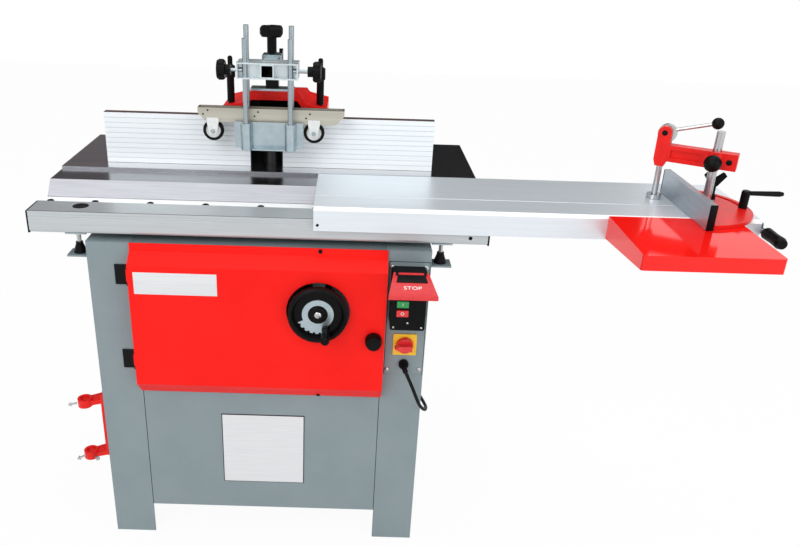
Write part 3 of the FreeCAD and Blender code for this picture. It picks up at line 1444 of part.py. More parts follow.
def top_knob():
    """Star knob on the sleeve with the stud that locks the tube."""
    spot = (press_x, (sleeve_front + sleeve_back) / 2)
    head = press_z + sleeve_size / 2 + top_stud_rise
    stud = rod(top_stud_radius, (*spot, press_z + tube_size / 2 + free_gap), (*spot, head))
    star = star_head(top_knob_radius, top_knob_height * 0.4, top_knob_lobes, top_knob_scallop_share)
    neck = rod(top_knob_radius * 0.4, (0, 0, 0), (0, 0, top_knob_height * 0.7))
    grip = fuse(shift(star, 0, 0, top_knob_height * 0.6), neck)
    return fuse(stud, aimed(grip, (*spot, head), (0, 0, 1)))

table_low = table_top - table_thickness
screw_spot = (wheel_x, spindle_y)
spindle_spot = (0, spindle_y)
motor_spot = (motor_x, motor_y)


def bevel_gear():
    """Equal bevel gear about +Z with its apex at zero: a root cone, a hub behind it and trapezoid teeth."""
    slant = math.sqrt(0.5)
    small = 1 - gear_face_share
    root = (gear_pitch_radius - tooth_deep * slant, gear_pitch_radius + tooth_deep * slant)
    body = turned([(0, root[1] * small), (root[0] * small, root[1] * small), (root[0], root[1]),
                   (gear_hub_radius, root[1]), (gear_hub_radius, gear_pitch_radius + gear_hub_length),
                   (0, gear_pitch_radius + gear_hub_length)], (0, 0, 0), (0, 0, 1))
    deep = tooth_deep * 1.3
    section = []
    for rise, width in ((tooth_high, tooth_tip_width), (-deep, tooth_root_width)):
        radius = gear_pitch_radius + rise * slant
        level = gear_pitch_radius - rise * slant
        section.append((radius, width / 2, level))
        section.append((radius, -width / 2, level))
    order = (0, 1, 3, 2, 0)
    wires = []
    for scale in (small, 1):
        wires.append(Part.makePolygon([V(*section[index]) * scale for index in order]))
    tooth = Part.makeLoft(wires, True, True)
    teeth = [turn(tooth, (0, 0, 0), (0, 0, 1), 360 * index / gear_teeth) for index in range(gear_teeth)]
    return fuse(body, *teeth)


def lift_bracket():
    """Guide frame under the table: top flange, two columns, bottom plate, and the gear bracket beside it."""
    spread = about(0, 2 * (guide_half_spacing + guide_radius))
    depth = about(guide_y, 2 * (guide_radius + lift_plate / 2))
    top = block(spread, depth, (table_low - lift_plate, table_low))
    bottom = (guide_low - lift_plate, guide_low)
    plate = fuse(block(spread, depth, bottom),
                 block((guide_half_spacing, wheel_x + lift_plate_margin), (spindle_y - lift_plate_margin, depth[1]),
                       bottom))
    frame = fuse(top, plate)
    for side in (-1, 1):
        spot = (side * guide_half_spacing, guide_y)
        frame = fuse(frame, rod(guide_radius, (*spot, bottom[0]), (*spot, table_low)))
    journal = screw_journal_radius + running_fit
    frame = cut(frame, rod(journal, (*screw_spot, bottom[0] - overrun), (*screw_spot, bottom[1] + overrun)))
    side_x = (wheel_x + shaft_post_width / 2, wheel_x + shaft_post_width / 2 + lift_plate)
    near_x = (wheel_x - shaft_post_width / 2, side_x[0] + lift_plate / 2)
    run_y = (shaft_post_y - shaft_post_depth / 2, spindle_y + lift_plate_margin)
    cheek = block(side_x, run_y, (wheel_z - shaft_post_width / 2, table_low))
    flange = block((side_x[0], side_x[1] + lift_plate_margin), run_y, (table_low - lift_plate, table_low))
    post = block(near_x, about(shaft_post_y, shaft_post_depth), about(wheel_z, shaft_post_width))
    gantry = block(near_x, about(spindle_y, 2 * lift_plate_margin), (gantry_low, gantry_high))
    bracket = cut(fuse(cheek, flange, post, gantry),
                  rod(wheel_shaft_radius + running_fit, (wheel_x, run_y[0] - overrun, wheel_z),
                      (wheel_x, run_y[0] + shaft_post_depth + overrun, wheel_z)),
                  rod(journal, (*screw_spot, gantry_low - overrun), (*screw_spot, gantry_high + overrun)))
    return Part.makeCompound([frame, bracket])


def lift_screw():
    """Lift screw between its journals, with the upper bevel gear."""
    gear = aimed(bevel_gear(), (*screw_spot, wheel_z), (0, 0, 1))
    thread_high = wheel_z + gear_pitch_radius
    return fuse(rod(screw_journal_radius, (*screw_spot, guide_low - lift_plate), (*screw_spot, gantry_high)),
                rod(screw_radius, (*screw_spot, guide_low + free_gap), (*screw_spot, thread_high)), gear)


def wheel_shaft():
    """Handwheel shaft with the lower bevel gear, turned half a tooth to mesh."""
    half_tooth = 180 / gear_teeth
    gear = aimed(turn(bevel_gear(), (0, 0, 0), (0, 0, 1), half_tooth), (wheel_x, spindle_y, wheel_z), (0, -1, 0))
    return fuse(rod(wheel_shaft_radius, (wheel_x, -wheel_front * 0.83, wheel_z),
                    (wheel_x, spindle_y - gear_pitch_radius, wheel_z)), gear)


def spindle_housing():
    """Lift carriage: spindle barrel, guide sleeves, nut arm and motor plate, with two bearing rings in it."""
    barrel = rod(housing_radius, (*spindle_spot, housing_low), (*spindle_spot, housing_high))
    web_z = about((housing_low + housing_high) / 2, (housing_high - housing_low) / 2)
    web = block(about(0, 2 * guide_half_spacing), (spindle_y + housing_radius / 2, guide_y), web_z)
    nut_z = (housing_low, housing_low + nut_height)
    arm = block((0, wheel_x), about(spindle_y, nut_radius), nut_z)
    nut = rod(nut_radius, (*screw_spot, nut_z[0]), (*screw_spot, nut_z[1]))
    plate = block((motor_x - motor_radius, 0), about(motor_y, 2 * motor_radius),
                  (housing_low, housing_low + carrier_thickness))
    body = fuse(barrel, web, arm, nut, rounded(plate, motor_radius / 2, "z", lambda middle: middle.x < motor_x))
    bores = [rod(screw_radius + running_fit, (*screw_spot, nut_z[0] - overrun), (*screw_spot, nut_z[1] + overrun)),
             rod(bearing_outer - bearing_inset, (*spindle_spot, housing_low - overrun),
                 (*spindle_spot, housing_high + overrun)),
             rod(2 * motor_shaft_radius, (*motor_spot, housing_low - overrun),
                 (*motor_spot, housing_low + carrier_thickness + overrun))]
    for side in (-1, 1):
        spot = (side * guide_half_spacing, guide_y)
        body = fuse(body, rod(sleeve_radius, (*spot, web_z[0] - bearing_inset), (*spot, web_z[1] + bearing_inset)))
        bores.append(rod(guide_radius + running_fit, (*spot, web_z[0] - 2 * bearing_inset),
                         (*spot, web_z[1] + 2 * bearing_inset)))
    pocket = bearing_height + bearing_inset
    bearings = []
    for low, opening in ((housing_low + bearing_inset, housing_low), (housing_high - pocket, housing_high)):
        ends = (min(low, opening), max(low + bearing_height, opening))
        bores.append(rod(bearing_outer, (*spindle_spot, ends[0]), (*spindle_spot, ends[1])))
        bearings.append(ring(bearing_outer - running_fit, spindle_radius + running_fit, (*spindle_spot, low),
                             (*spindle_spot, low + bearing_height)))
    return Part.makeCompound([cut(body, *bores)] + bearings)


def motor():
    """Finned motor standing on the carriage plate, with a bore for its shaft."""
    low = housing_low + carrier_thickness
    core = motor_radius - motor_fin_height
    length = motor_high - low
    profile = [(0, 0), (motor_radius, 0), (motor_radius, length * 0.06), (core, length * 0.06), (core, length * 0.72),
               (motor_radius, length * 0.72), (motor_radius, length * 0.94), (core, length), (0, length)]
    body = turned(profile, (*motor_spot, low), (0, 0, 1))
    fins = []
    for index in range(motor_fin_count):
        fin = block((core - motor_fin_height, motor_radius), about(0, motor_fin_thickness),
                    (low + length * 0.06, low + length * 0.72))
        fins.append(shift(turn(fin, (0, 0, 0), (0, 0, 1), 360 * index / motor_fin_count), *motor_spot, 0))
    bore = rod(motor_shaft_radius + running_fit, (*motor_spot, low - overrun), (*motor_spot, low + length / 2))
    return cut(fuse(body, *fins), bore)


def pulley(spot, radii, bore):
    """Two-step pulley, the first step lower, each step with a rim above and below the belt's track."""
    step = (pulley_high - pulley_low) / 2
    rim = (step - belt_width - 2 * thin_gap) / 2
    profile = [(bore, 0)]
    for index, radius in enumerate(radii):
        low = index * step
        wide = radius + pulley_groove
        profile += [(wide, low), (wide, low + rim), (radius, low + rim), (radius, low + step - rim),
                    (wide, low + step - rim), (wide, low + step)]
    profile.append((bore, 2 * step))
    return turned(profile, (*spot, pulley_low), (0, 0, 1))


def motor_pulley():
    """Two-step motor pulley on the motor's shaft."""
    low = housing_low + carrier_thickness
    length = motor_high - low
    shaft = rod(motor_shaft_radius, (*motor_spot, pulley_low), (*motor_spot, low + length / 2 - thin_gap))
    return fuse(pulley(motor_spot, motor_pulley_radii, motor_shaft_radius / 2), shaft)


def spindle_shaft():
    """Spindle with a shoulder and the arbor above it."""
    return fuse(rod(spindle_radius, (*spindle_spot, pulley_low), (*spindle_spot, arbor_shoulder)),
                rod(arbor_radius, (*spindle_spot, arbor_shoulder), (*spindle_spot, arbor_high)))


def arbor_rings():
    """Spacer rings stacked on the arbor and the nut above them."""
    pieces = []
    bore = arbor_radius + running_fit
    for index in range(arbor_ring_count):
        low = arbor_shoulder + index * arbor_ring_height
        pieces.append(ring(arbor_ring_radius, bore, (*spindle_spot, low), (*spindle_spot, low + arbor_ring_height)))
    top = arbor_shoulder + arbor_ring_count * arbor_ring_height
    corners = []
    for index in range(6):
        angle = math.radians(60 * index)
        corners.append((arbor_nut_radius * math.cos(angle), spindle_y + arbor_nut_radius * math.sin(angle)))
    nut = prism(corners, "z", (top, top + arbor_ring_height))
    pieces.append(nut.cut(rod(bore, (*spindle_spot, top - overrun), (*spindle_spot, top + 2 * arbor_ring_height))))
    return Part.makeCompound(pieces)


def belt_hull(extra, ends):
    """Solid round both lower pulley steps, with straight sides that touch both circles."""
    near, far = spindle_spot, motor_spot
    radii = (spindle_pulley_radii[0] + extra, motor_pulley_radii[0] + extra)
    run = (far[0] - near[0], far[1] - near[1])
    length = math.hypot(*run)
    heading = math.atan2(run[1], run[0])
    spread = math.acos((radii[0] - radii[1]) / length)
    corners = []
    for spot, radius, sides in ((near, radii[0], (-1, 1)), (far, radii[1], (1, -1))):
        for side in sides:
            angle = heading + side * spread
            corners.append((spot[0] + radius * math.cos(angle), spot[1] + radius * math.sin(angle)))
    return fuse(prism(corners, "z", ends), rod(radii[0], (*near, ends[0]), (*near, ends[1])),
                rod(radii[1], (*far, ends[0]), (*far, ends[1])))


def drive_belt():
    """Flat belt round the lower pulley steps."""
    ends = about(pulley_low + (pulley_high - pulley_low) / 4, belt_width)
    past = (ends[0] - overrun, ends[1] + overrun)
    return cut(belt_hull(free_gap + belt_thickness, ends), belt_hull(free_gap, past))


def arc_edge(start, heading, end):
    """Arc that leaves a point along a heading and ends at another point."""
    chord = end - start
    along = V(chord).normalize()
    lean = heading - along * heading.dot(along)
    half_turn = math.acos(min(1, heading.dot(along)))
    middle = start + chord / 2 + lean.normalize() * (chord.Length / 2 * math.tan(half_turn / 2))
    return Part.Arc(start, middle, end).toShape()


def swept(edges, radius):
    """Round tube along joined edges, with the check of its volume against section times length."""
    path = Part.Wire(edges)
    first = edges[0]
    start = first.Vertexes[0].Point
    heading = first.tangentAt(first.FirstParameter)
    section = Part.Wire([Part.makeCircle(radius, start, heading)])
    shell = Part.BRepOffsetAPI.MakePipeShell(path)
    shell.add(section)
    shell.build()
    shell.makeSolid()
    tube = shell.shape()
    expected = math.pi * radius ** 2 * path.Length
    print("length", round(path.Length, 1), "volume share", round(tube.Volume / expected, 4))
    return tube


def power_cord():
    """Free cord along its route: straight runs joined by arcs as large as the runs allow."""
    points = [V(*point) for point in cord_route]
    edges = []
    at = points[0]
    for before, corner, after in zip(points, points[1:], points[2:]):
        arrive = corner - before
        leave = after - corner
        turn_angle = arrive.getAngle(leave)
        reach = 0.45 * min(arrive.Length, leave.Length)
        print("radius", round(reach / math.tan(turn_angle / 2), 1), "turn", round(math.degrees(turn_angle), 1))
        start = corner - V(arrive).normalize() * reach
        end = corner + V(leave).normalize() * reach
        edges.append(Part.makeLine(at, start))
        edges.append(arc_edge(start, V(arrive).normalize(), end))
        at = end
    edges.append(Part.makeLine(at, points[-1]))
    return swept(edges, cord_radius)


coil_start = V(*cord_route[-1])
coil_turns = 2 * coil_layer_turns + 0.5


def coil_point(turns):
    """Place on the coil after so many turns: in on the floor, up in half a turn, out on the upper layer."""
    inner = coil_outer_radius - coil_pitch * coil_layer_turns
    past = turns - coil_layer_turns
    if past <= 0:
        radius, rise = inner - coil_pitch * past, 0
    elif past < 0.5:
        radius = inner - coil_pitch * math.sin(2 * math.pi * past) / (2 * math.pi)
        rise = coil_layer * (1 - math.cos(2 * math.pi * past)) / 2
    else:
        radius, rise = inner + coil_pitch * (past - 0.5), coil_layer
    angle = -math.pi / 2 - 2 * math.pi * turns
    centre = coil_start + V(-coil_end_straight, coil_outer_radius, 0)
    return centre + V(radius * math.cos(angle), radius * math.sin(angle), rise)


def coil_heading(turns):
    """Direction of the cord on the coil."""
    step = 0.001
    return (coil_point(turns + step) - coil_point(turns - step)).normalize()


def cord_coil():
    """Put-away length of the cord as one unbroken tube of quarter turns, each made of two arcs."""
    quarters = int(round(4 * coil_turns))
    points = [coil_point(index / 4) for index in range(quarters + 1)]
    headings = [coil_heading(index / 4) for index in range(quarters + 1)]
    headings[0] = V(-1, 0, 0)
    headings[-1] = V(1, 0, 0)
    edges = [Part.makeLine(coil_start, points[0])]
    for index in range(quarters):
        start, end = points[index], points[index + 1]
        leave, arrive = headings[index], headings[index + 1]
        chord = end - start
        both = leave + arrive
        spread = 2 * (1 - leave.dot(arrive))
        reach = (-chord.dot(both) + math.sqrt(chord.dot(both) ** 2 + spread * chord.dot(chord))) / spread
        middle = (start + leave * reach + end - arrive * reach) / 2
        first = arc_edge(start, leave, middle)
        edges.append(first)
        edges.append(arc_edge(middle, first.tangentAt(first.LastParameter), end))
    edges.append(Part.makeLine(points[-1], points[-1] + V(coil_end_straight, 0, 0)))
    samples = Part.Wire(edges).discretize(Number=800)
    spacing = Part.Wire(edges).Length / (len(samples) - 1)
    skip = int(math.pi * coil_outer_radius / 2 / spacing)
    least = min(near.distanceToPoint(far) for index, near in enumerate(samples) for far in samples[index + skip:])
    print("least gap in the coil", round(least - 2 * cord_radius, 2))
    return swept(edges, cord_radius)


def cord_plug():
    """Flat two-pin plug on the coil's upper end, lying on the floor."""
    end = coil_point(coil_turns) + V(coil_end_straight, 0, 0)
    half_height = end.z - free_gap
    nose = (end.x, end.x + plug_nose)
    relief = turned([(0, 0), (cord_radius * 1.1, 0), (cord_radius * 1.8, plug_nose), (0, plug_nose)], tuple(end), (1, 0, 0))
    body = block((nose[1], nose[1] + plug_length), about(end.y, plug_width), about(end.z, 2 * half_height))
    body = rounded(body, half_height * 0.6, "x")
    pins = []
    face = nose[1] + plug_length
    for side in (-1, 1):
        y = end.y + side * plug_pin_spacing / 2
        pins.append(rod(plug_pin_radius, (face, y, end.z), (face + plug_pin_length, y, end.z)))
    return fuse(relief, body, *pins)


pieces = {
    "cabinet_left_side": cabinet_side(),
    "cabinet_right_side": cabinet_side().mirror(V(0, 0, 0), V(1, 0, 0)),
    "front_panel": front_panel(),
    "rear_panel": rear_panel(),
    "door": door(),
    "hinge_leaves": hinge_leaves(),
    "door_knob": door_knob(),
    "handwheel": handwheel(),
    "crank_grip": crank_grip(),
    "switch_plate": switch_plate(),
    "switch_box": switch_box(),
    "start_button": push_button(start_button_z),
    "stop_button": push_button(stop_button_z),
    "stop_flap": stop_flap(),
    "isolator_plate": isolator_plate(),
    "isolator_knob": isolator_knob(),
    "cable_gland": cable_gland(),
    "support_bracket": support_bracket(),
    "table": table(),
    "table_rings": table_rings(),
    "rail": rail(),
    "sliding_table": sliding_table(),
    "tray": tray(),
    "push_grip": push_grip(),
    "mitre_plate": mitre_plate(),
    "mitre_fence": mitre_fence(),
    "mitre_lever": mitre_lever(),
    "wing_knob": wing_knob(),
    "clamp_column": clamp_column(),
    "clamp_arm": clamp_arm(),
    "arm_knob": arm_knob(),
    "cam_lever": cam_lever(),
    "press_rod": press_rod(),
    "left_fence": fence_board(left_fence_ends),
    "right_fence": fence_board(right_fence_ends),
    "hood": hood(),
    "left_hood_handle": hood_handle(-1),
    "right_hood_handle": hood_handle(1),
    "press_post": press_post(),
    "press_tube": press_tube(),
    "press_shoe": press_shoe(),
    "press_bar": press_bar(),
    "castor_left": castor(castor_places[0]),
    "castor_right": castor(castor_places[1]),
    "left_star_knob": side_knob(-1, left_stud_length),
    "right_star_knob": side_knob(1, right_stud_length),
    "top_knob": top_knob(),
    "lift_bracket": lift_bracket(),
    "lift_screw": lift_screw(),
    "wheel_shaft": wheel_shaft(),
    "spindle_housing": spindle_housing(),
    "motor": motor(),
    "motor_pulley": motor_pulley(),
    "spindle_shaft": spindle_shaft(),
    "spindle_pulley": pulley(spindle_spot, spindle_pulley_radii, spindle_radius + running_fit),
    "arbor_rings": arbor_rings(),
    "drive_belt": drive_belt(),
}
cord_pieces = {
    "power_cord": power_cord(),
    "cord_coil": cord_coil(),
    "cord_plug": cord_plug(),
}

boxes = [shape.optimalBoundingBox(False) for shape in pieces.values()]
middle_x = (min(box.XMin for box in boxes) + max(box.XMax for box in boxes)) / 2
middle_y = (min(box.YMin for box in boxes) + max(box.YMax for box in boxes)) / 2
print("bottom centre", round(middle_x, 4), round(middle_y, 4), "pieces", len(pieces) + len(cord_pieces))

os.makedirs("parts", exist_ok=True)
for name, shape in {**pieces, **cord_pieces}.items():
    shift(shape, -middle_x, -middle_y, 0).exportStep(f"parts/{name}.step")
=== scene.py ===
"""Looks of a spindle moulder with a sliding table: finishes, small fittings, cord, light and camera."""

import math

import bpy
from mathutils import Matrix, Vector


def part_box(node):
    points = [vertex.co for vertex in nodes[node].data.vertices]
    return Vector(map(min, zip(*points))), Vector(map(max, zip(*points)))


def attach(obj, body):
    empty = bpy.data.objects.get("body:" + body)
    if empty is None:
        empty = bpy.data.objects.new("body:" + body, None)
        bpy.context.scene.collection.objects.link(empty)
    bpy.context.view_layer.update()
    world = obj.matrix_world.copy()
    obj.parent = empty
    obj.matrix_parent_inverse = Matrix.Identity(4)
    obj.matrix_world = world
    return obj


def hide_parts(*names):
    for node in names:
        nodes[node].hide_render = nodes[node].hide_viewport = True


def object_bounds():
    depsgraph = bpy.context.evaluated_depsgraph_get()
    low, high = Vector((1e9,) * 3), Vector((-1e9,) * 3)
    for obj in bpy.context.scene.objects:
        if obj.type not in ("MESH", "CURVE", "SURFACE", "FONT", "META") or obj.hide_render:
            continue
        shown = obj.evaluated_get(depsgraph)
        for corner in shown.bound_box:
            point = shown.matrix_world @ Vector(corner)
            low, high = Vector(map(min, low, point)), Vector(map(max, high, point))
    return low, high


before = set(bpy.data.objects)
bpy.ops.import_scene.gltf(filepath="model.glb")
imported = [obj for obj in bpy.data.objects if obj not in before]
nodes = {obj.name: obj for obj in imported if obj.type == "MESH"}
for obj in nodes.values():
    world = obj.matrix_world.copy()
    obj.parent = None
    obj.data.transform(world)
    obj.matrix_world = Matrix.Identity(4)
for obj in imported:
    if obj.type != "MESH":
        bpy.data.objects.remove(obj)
cad_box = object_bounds()

# Sizes are in millimetres from the spindle axis, the rail's front face and the floor.
mm = 0.001
spindle_low, spindle_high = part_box("spindle_shaft")
spindle_x = (spindle_low.x + spindle_high.x) / 2
rail_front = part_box("rail")[0].y


def spot(x, y, z):
    """Point of the frame for a place given in millimetres."""
    return Vector((spindle_x + x * mm, rail_front + y * mm, z * mm))


def edge(node, axis, side):
    """Place in millimetres of a CAD node's low (0) or high (1) side along an axis."""
    offset = {"x": spindle_x, "y": rail_front, "z": 0.0}[axis]
    return (getattr(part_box(node)[side], axis) - offset) / mm


def ends(node, axis):
    """Places of a CAD node's low and high sides along an axis."""
    return edge(node, axis, 0), edge(node, axis, 1)


def midway(pair):
    """Value halfway between two."""
    return (pair[0] + pair[1]) / 2


def linear(code):
    """Linear colour of an sRGB hex code."""
    channels = [int(code[i:i + 2], 16) / 255 for i in (1, 3, 5)]
    curve = [c / 12.92 if c <= 0.04045 else ((c + 0.055) / 1.055) ** 2.4 for c in channels]
    return (*curve, 1.0)


def add_node(tree, kind, values=(), links=(), **settings):
    """Add one shader node with its settings, socket values and links."""
    made = tree.nodes.new(kind)
    for name, value in settings.items():
        setattr(made, name, value)
    for socket, value in dict(values).items():
        made.inputs[socket].default_value = value
    for socket, source in dict(links).items():
        tree.links.new(source, made.inputs[socket])
    return made


# Finishes: grain and relief are in millimetres, with fine patterns coarser than life so that they show
cloud_detail = 5.0
cloud_roughness = 0.6
tone_stops = (0.3, 0.7)
pit_detail = 2.0
pit_strength = 0.5
metal_share = 0.5
stretch_share = 0.03
along_x = (stretch_share, 1, 1)
along_y = (1, stretch_share, 1)
along_z = (1, 1, stretch_share)


def surface(name, light, dark, grain, roughness, spread=0.05, metallic=0.0, run=(1, 1, 1),
            relief=0.0, relief_grain=1.0, coat=0.0, ior=1.5):
    """Finish that varies between two tones in a grain, drawn out along a run, over a pitted relief."""
    material = bpy.data.materials.new(name)
    material.use_nodes = True
    tree = material.node_tree
    shader = tree.nodes["Principled BSDF"]
    shader.inputs["Metallic"].default_value = metallic
    if metallic < metal_share:
        shader.inputs["IOR"].default_value = ior
    shader.inputs["Coat Weight"].default_value = coat
    where = add_node(tree, "ShaderNodeTexCoord").outputs["Object"]
    drawn = add_node(tree, "ShaderNodeMapping", {"Scale": run}, {"Vector": where}).outputs["Vector"]
    cloud_values = {"Scale": 1 / (grain * mm), "Detail": cloud_detail, "Roughness": cloud_roughness}
    cloud = add_node(tree, "ShaderNodeTexNoise", cloud_values, {"Vector": drawn}).outputs["Fac"]
    ramp = add_node(tree, "ShaderNodeValToRGB", links={"Fac": cloud})
    for stop, position, tone in zip(ramp.color_ramp.elements, tone_stops, (dark, light)):
        stop.position = position
        stop.color = linear(tone)
    tree.links.new(ramp.outputs["Color"], shader.inputs["Base Color"])
    sheen_ends = {"To Min": roughness - spread, "To Max": roughness + spread}
    sheen = add_node(tree, "ShaderNodeMapRange", sheen_ends, {"Value": cloud})
    tree.links.new(sheen.outputs["Result"], shader.inputs["Roughness"])
    if relief:
        pit_values = {"Scale": 1 / (relief_grain * mm), "Detail": pit_detail}
        pits = add_node(tree, "ShaderNodeTexNoise", pit_values, {"Vector": drawn}).outputs["Fac"]
        bump_values = {"Strength": pit_strength, "Distance": relief * mm}
        bump = add_node(tree, "ShaderNodeBump", bump_values, {"Height": pits})
        tree.links.new(bump.outputs["Normal"], shader.inputs["Normal"])
    return material


# Powder-coated sheet: slight orange peel, even satin grey
grey_coat = surface("grey_powder_coat", "#849296", "#7C8B90", grain=140, roughness=0.42,
                    relief=0.05, relief_grain=2.2)
# Enamelled sheet: smooth and bright, with a soft gloss
red_coat = surface("red_enamel", "#F81A12", "#EE140E", grain=160, roughness=0.36, relief=0.03,
                   relief_grain=2.6, ior=1.25)
# Stoved enamel of the tray: the same red, polished enough to mirror the fence
tray_coat = surface("red_gloss_enamel", "#F81A12", "#EE140E", grain=160, roughness=0.08,
                    spread=0.02, relief=0.02, relief_grain=6.0, ior=1.42)
# Cast and folded red pieces: the same colour over a slightly rougher skin
red_cast = surface("red_enamel_on_casting", "#EE1E17", "#D6140F", grain=30, roughness=0.34,
                   relief=0.12, relief_grain=3.0, ior=1.35)
# Satin enamel on steel: deep black with a faint sheen
black_coat = surface("black_enamel", "#0D0D0E", "#09090A", grain=60, roughness=0.36, relief=0.04,
                     relief_grain=1.8, ior=1.24)
# Moulded black plastic with a fine eroded grain
black_plastic = surface("moulded_black_plastic", "#0D0D0E", "#09090A", grain=25, roughness=0.4,
                        relief=0.06, relief_grain=0.9, ior=1.2)
# Ground cast iron: clear dark mirror with fine lines along the grinding stroke
ground_iron = surface("ground_cast_iron", "#DFDFE1", "#CDCDD0", grain=9, roughness=0.2,
                      metallic=1.0, run=along_x, relief=0.01, relief_grain=1.2)
# Planed cast iron of the ledge: the same metal, darker between its tool marks
ledge_iron = surface("planed_cast_iron", "#A7A8AC", "#94959A", grain=7, roughness=0.22,
                     metallic=1.0, run=along_x, relief=0.01, relief_grain=1.2)
# Milled cast iron of the bevel: pale and nearly matt
bevel_iron = surface("milled_cast_iron", "#BBBCC2", "#ACADB4", grain=3, roughness=0.42, spread=0.04,
                     metallic=0.5, run=along_x, relief=0.01, relief_grain=1.2)
# Painted casting skin: dull, dark and pitted from the sand; inside the hood and its outlet it is painted
# shade
casting_skin_and_shade = surface("casting_skin_and_painted_shade", "#3A3B3E", "#2E2F32", grain=18, roughness=0.62,
                   relief=0.35, relief_grain=4.0)
# Drawn aluminium: pale metal with straight die lines along its length
drawn_alloy = surface("drawn_aluminium", "#C5CACC", "#BBC1C4", grain=5, roughness=0.36, spread=0.04,
                      metallic=0.6, run=along_x, relief=0.01, relief_grain=0.8)
# Clear anodised finish drawn almost white: painted highlight on the slider's groove floor and front
# bevel, painted reflection on the rail's flange
painted_highlight_alloy = surface("painted_highlight_anodised", "#FDFEFF", "#F3F5F7", grain=6, roughness=0.5)
# Anodised aluminium of the sliding table: cool and bright, with a soft mirror
table_alloy = surface("anodised_aluminium_table", "#E3EAEF", "#DCE4EA", grain=6, roughness=0.36,
                      spread=0.04, metallic=0.5, run=along_x, relief=0.01, relief_grain=0.8)
# Anodised aluminium of the fence boards: whiter and more matt
fence_alloy = surface("anodised_aluminium_fence", "#F0F4F7", "#E8EEF2", grain=8, roughness=0.45,
                      spread=0.04, metallic=0.2, run=along_x, relief=0.01, relief_grain=0.8)
# Floor of the fence's grooves: the same skin, greyed as painted shade in the grooves
painted_groove_shade = surface("shaded_fence_groove", "#D3DBE0", "#C8D1D7", grain=8, roughness=0.5)
# Phenolic film over plywood, the core of the fence boards: dark brown and dull
fence_edge = surface("dark_fence_core", "#4F3836", "#3B2A29", grain=6, roughness=0.6, relief=0.08,
                     relief_grain=1.4)
# Mill-finish aluminium of the mitre fence: grey, with lines along its length
mitre_alloy = surface("mill_finish_aluminium", "#BBC4CD", "#A7B1BA", grain=4, roughness=0.4,
                      metallic=0.8, run=along_y, relief=0.02, relief_grain=0.8)
# Blue zinc plating on steel: cool, faintly cloudy
zinc_plate = surface("zinc_plated_steel", "#B4C2C8", "#A5B5BC", grain=22, roughness=0.26,
                     metallic=0.85)
# Bright zinc plating on thin sheet, lightened further to nearly white all over as painted light for the
# faces turned to the lamps
lit_zinc_sheet = surface("bright_zinc_sheet_painted_light", "#DCE4E7", "#CAD5D9", grain=22, roughness=0.32,
                       metallic=0.6)
# Zinc plating on drawn rod: the same tone, drawn out along the rod
zinc_rod = surface("zinc_plated_rod", "#AEB9BE", "#97A3A9", grain=5, roughness=0.24, metallic=0.9,
                   run=along_z)
# Passivated sheet of the press bar: warm and pale
pale_bar = surface("passivated_sheet_steel", "#C3C0B4", "#B1ADA1", grain=10, roughness=0.4,
                   spread=0.06, metallic=0.6, run=along_x)
# Turned and polished steel: bright, with clear reflections
bright_steel = surface("turned_steel", "#C9CBCC", "#AEB0B2", grain=3, roughness=0.24, metallic=1.0,
                       run=along_z)
# Oiled steel: dark metal with an uneven sheen
dark_steel = surface("oiled_steel", "#6E7073", "#515356", grain=4, roughness=0.36, spread=0.08,
                     metallic=1.0)
# Black oxide on turned steel: near black with an oily sheen
black_oxide = surface("black_oxide_steel", "#2B2B2E", "#1D1D1F", grain=4, roughness=0.34,
                      spread=0.06, metallic=0.5)
# Enamel on the motor's case: blue grey over a rough casting
motor_coat = surface("motor_enamel", "#5E666B", "#535B60", grain=20, roughness=0.5, relief=0.1,
                     relief_grain=3.0)
# Moulded belt rubber: dull and faintly mottled
belt_rubber = surface("belt_rubber", "#1C1C1C", "#131313", grain=4, roughness=0.75, relief=0.05,
                      relief_grain=1.5)
# Cord rubber: black, with a soft line of light along it
cord_rubber = surface("cord_rubber", "#0F0F10", "#0A0A0B", grain=3, roughness=0.5, relief=0.03,
                      relief_grain=0.8, ior=1.24)
# Tyre rubber: black and duller than the cord
tyre_rubber = surface("tyre_rubber", "#0F0F10", "#0A0A0B", grain=3, roughness=0.6, relief=0.04,
                      relief_grain=1.2, ior=1.22)
# Moulded gloss plastics of the switch gear: clear, even colours under a thin gloss
green_plastic = surface("moulded_green_plastic", "#1E9E4C", "#178A41", grain=8, roughness=0.3,
                        coat=0.2)
red_plastic = surface("moulded_red_plastic", "#E02A2E", "#CF2126", grain=8, roughness=0.32,
                      coat=0.2)
yellow_plastic = surface("moulded_yellow_plastic", "#F6C71B", "#EDBA12", grain=10, roughness=0.34,
                         coat=0.2)
# Moulded pale plastic of the castors: off-white and satin
pale_plastic = surface("moulded_pale_plastic", "#E6E8E7", "#D6D8D7", grain=6, roughness=0.42)
# Printing ink: flat white
white_ink = surface("white_print", "#F4F4F2", "#E9E9E6", grain=6, roughness=0.5)
# Brushed aluminium of the bare plates: pale, with fine lines across
bare_plate = surface("brushed_label_plate", "#E2E4E6", "#DADCDF", grain=3, roughness=0.4,
                     spread=0.03, metallic=0.4, run=along_x)


def wear(finish, *names):
    """Give CAD nodes one finish all over."""
    for name in names:
        nodes[name].data.materials.clear()
        nodes[name].data.materials.append(finish)


def wear_parts(name, finishes, choose):
    """Give a CAD node several finishes, chosen face by face from its middle and its normal."""
    mesh = nodes[name].data
    mesh.materials.clear()
    for finish in finishes:
        mesh.materials.append(finish)
    for face in mesh.polygons:
        place = Vector(face.center)
        middle = Vector(((place.x - spindle_x) / mm, (place.y - rail_front) / mm, place.z / mm))
        face.material_index = finishes.index(choose(middle, face.normal))


def from_axis(middle, centre):
    """Distance in millimetres of a face's middle from a line along Y, given by its X and Z."""
    return math.hypot(middle.x - centre[0], middle.z - centre[1])


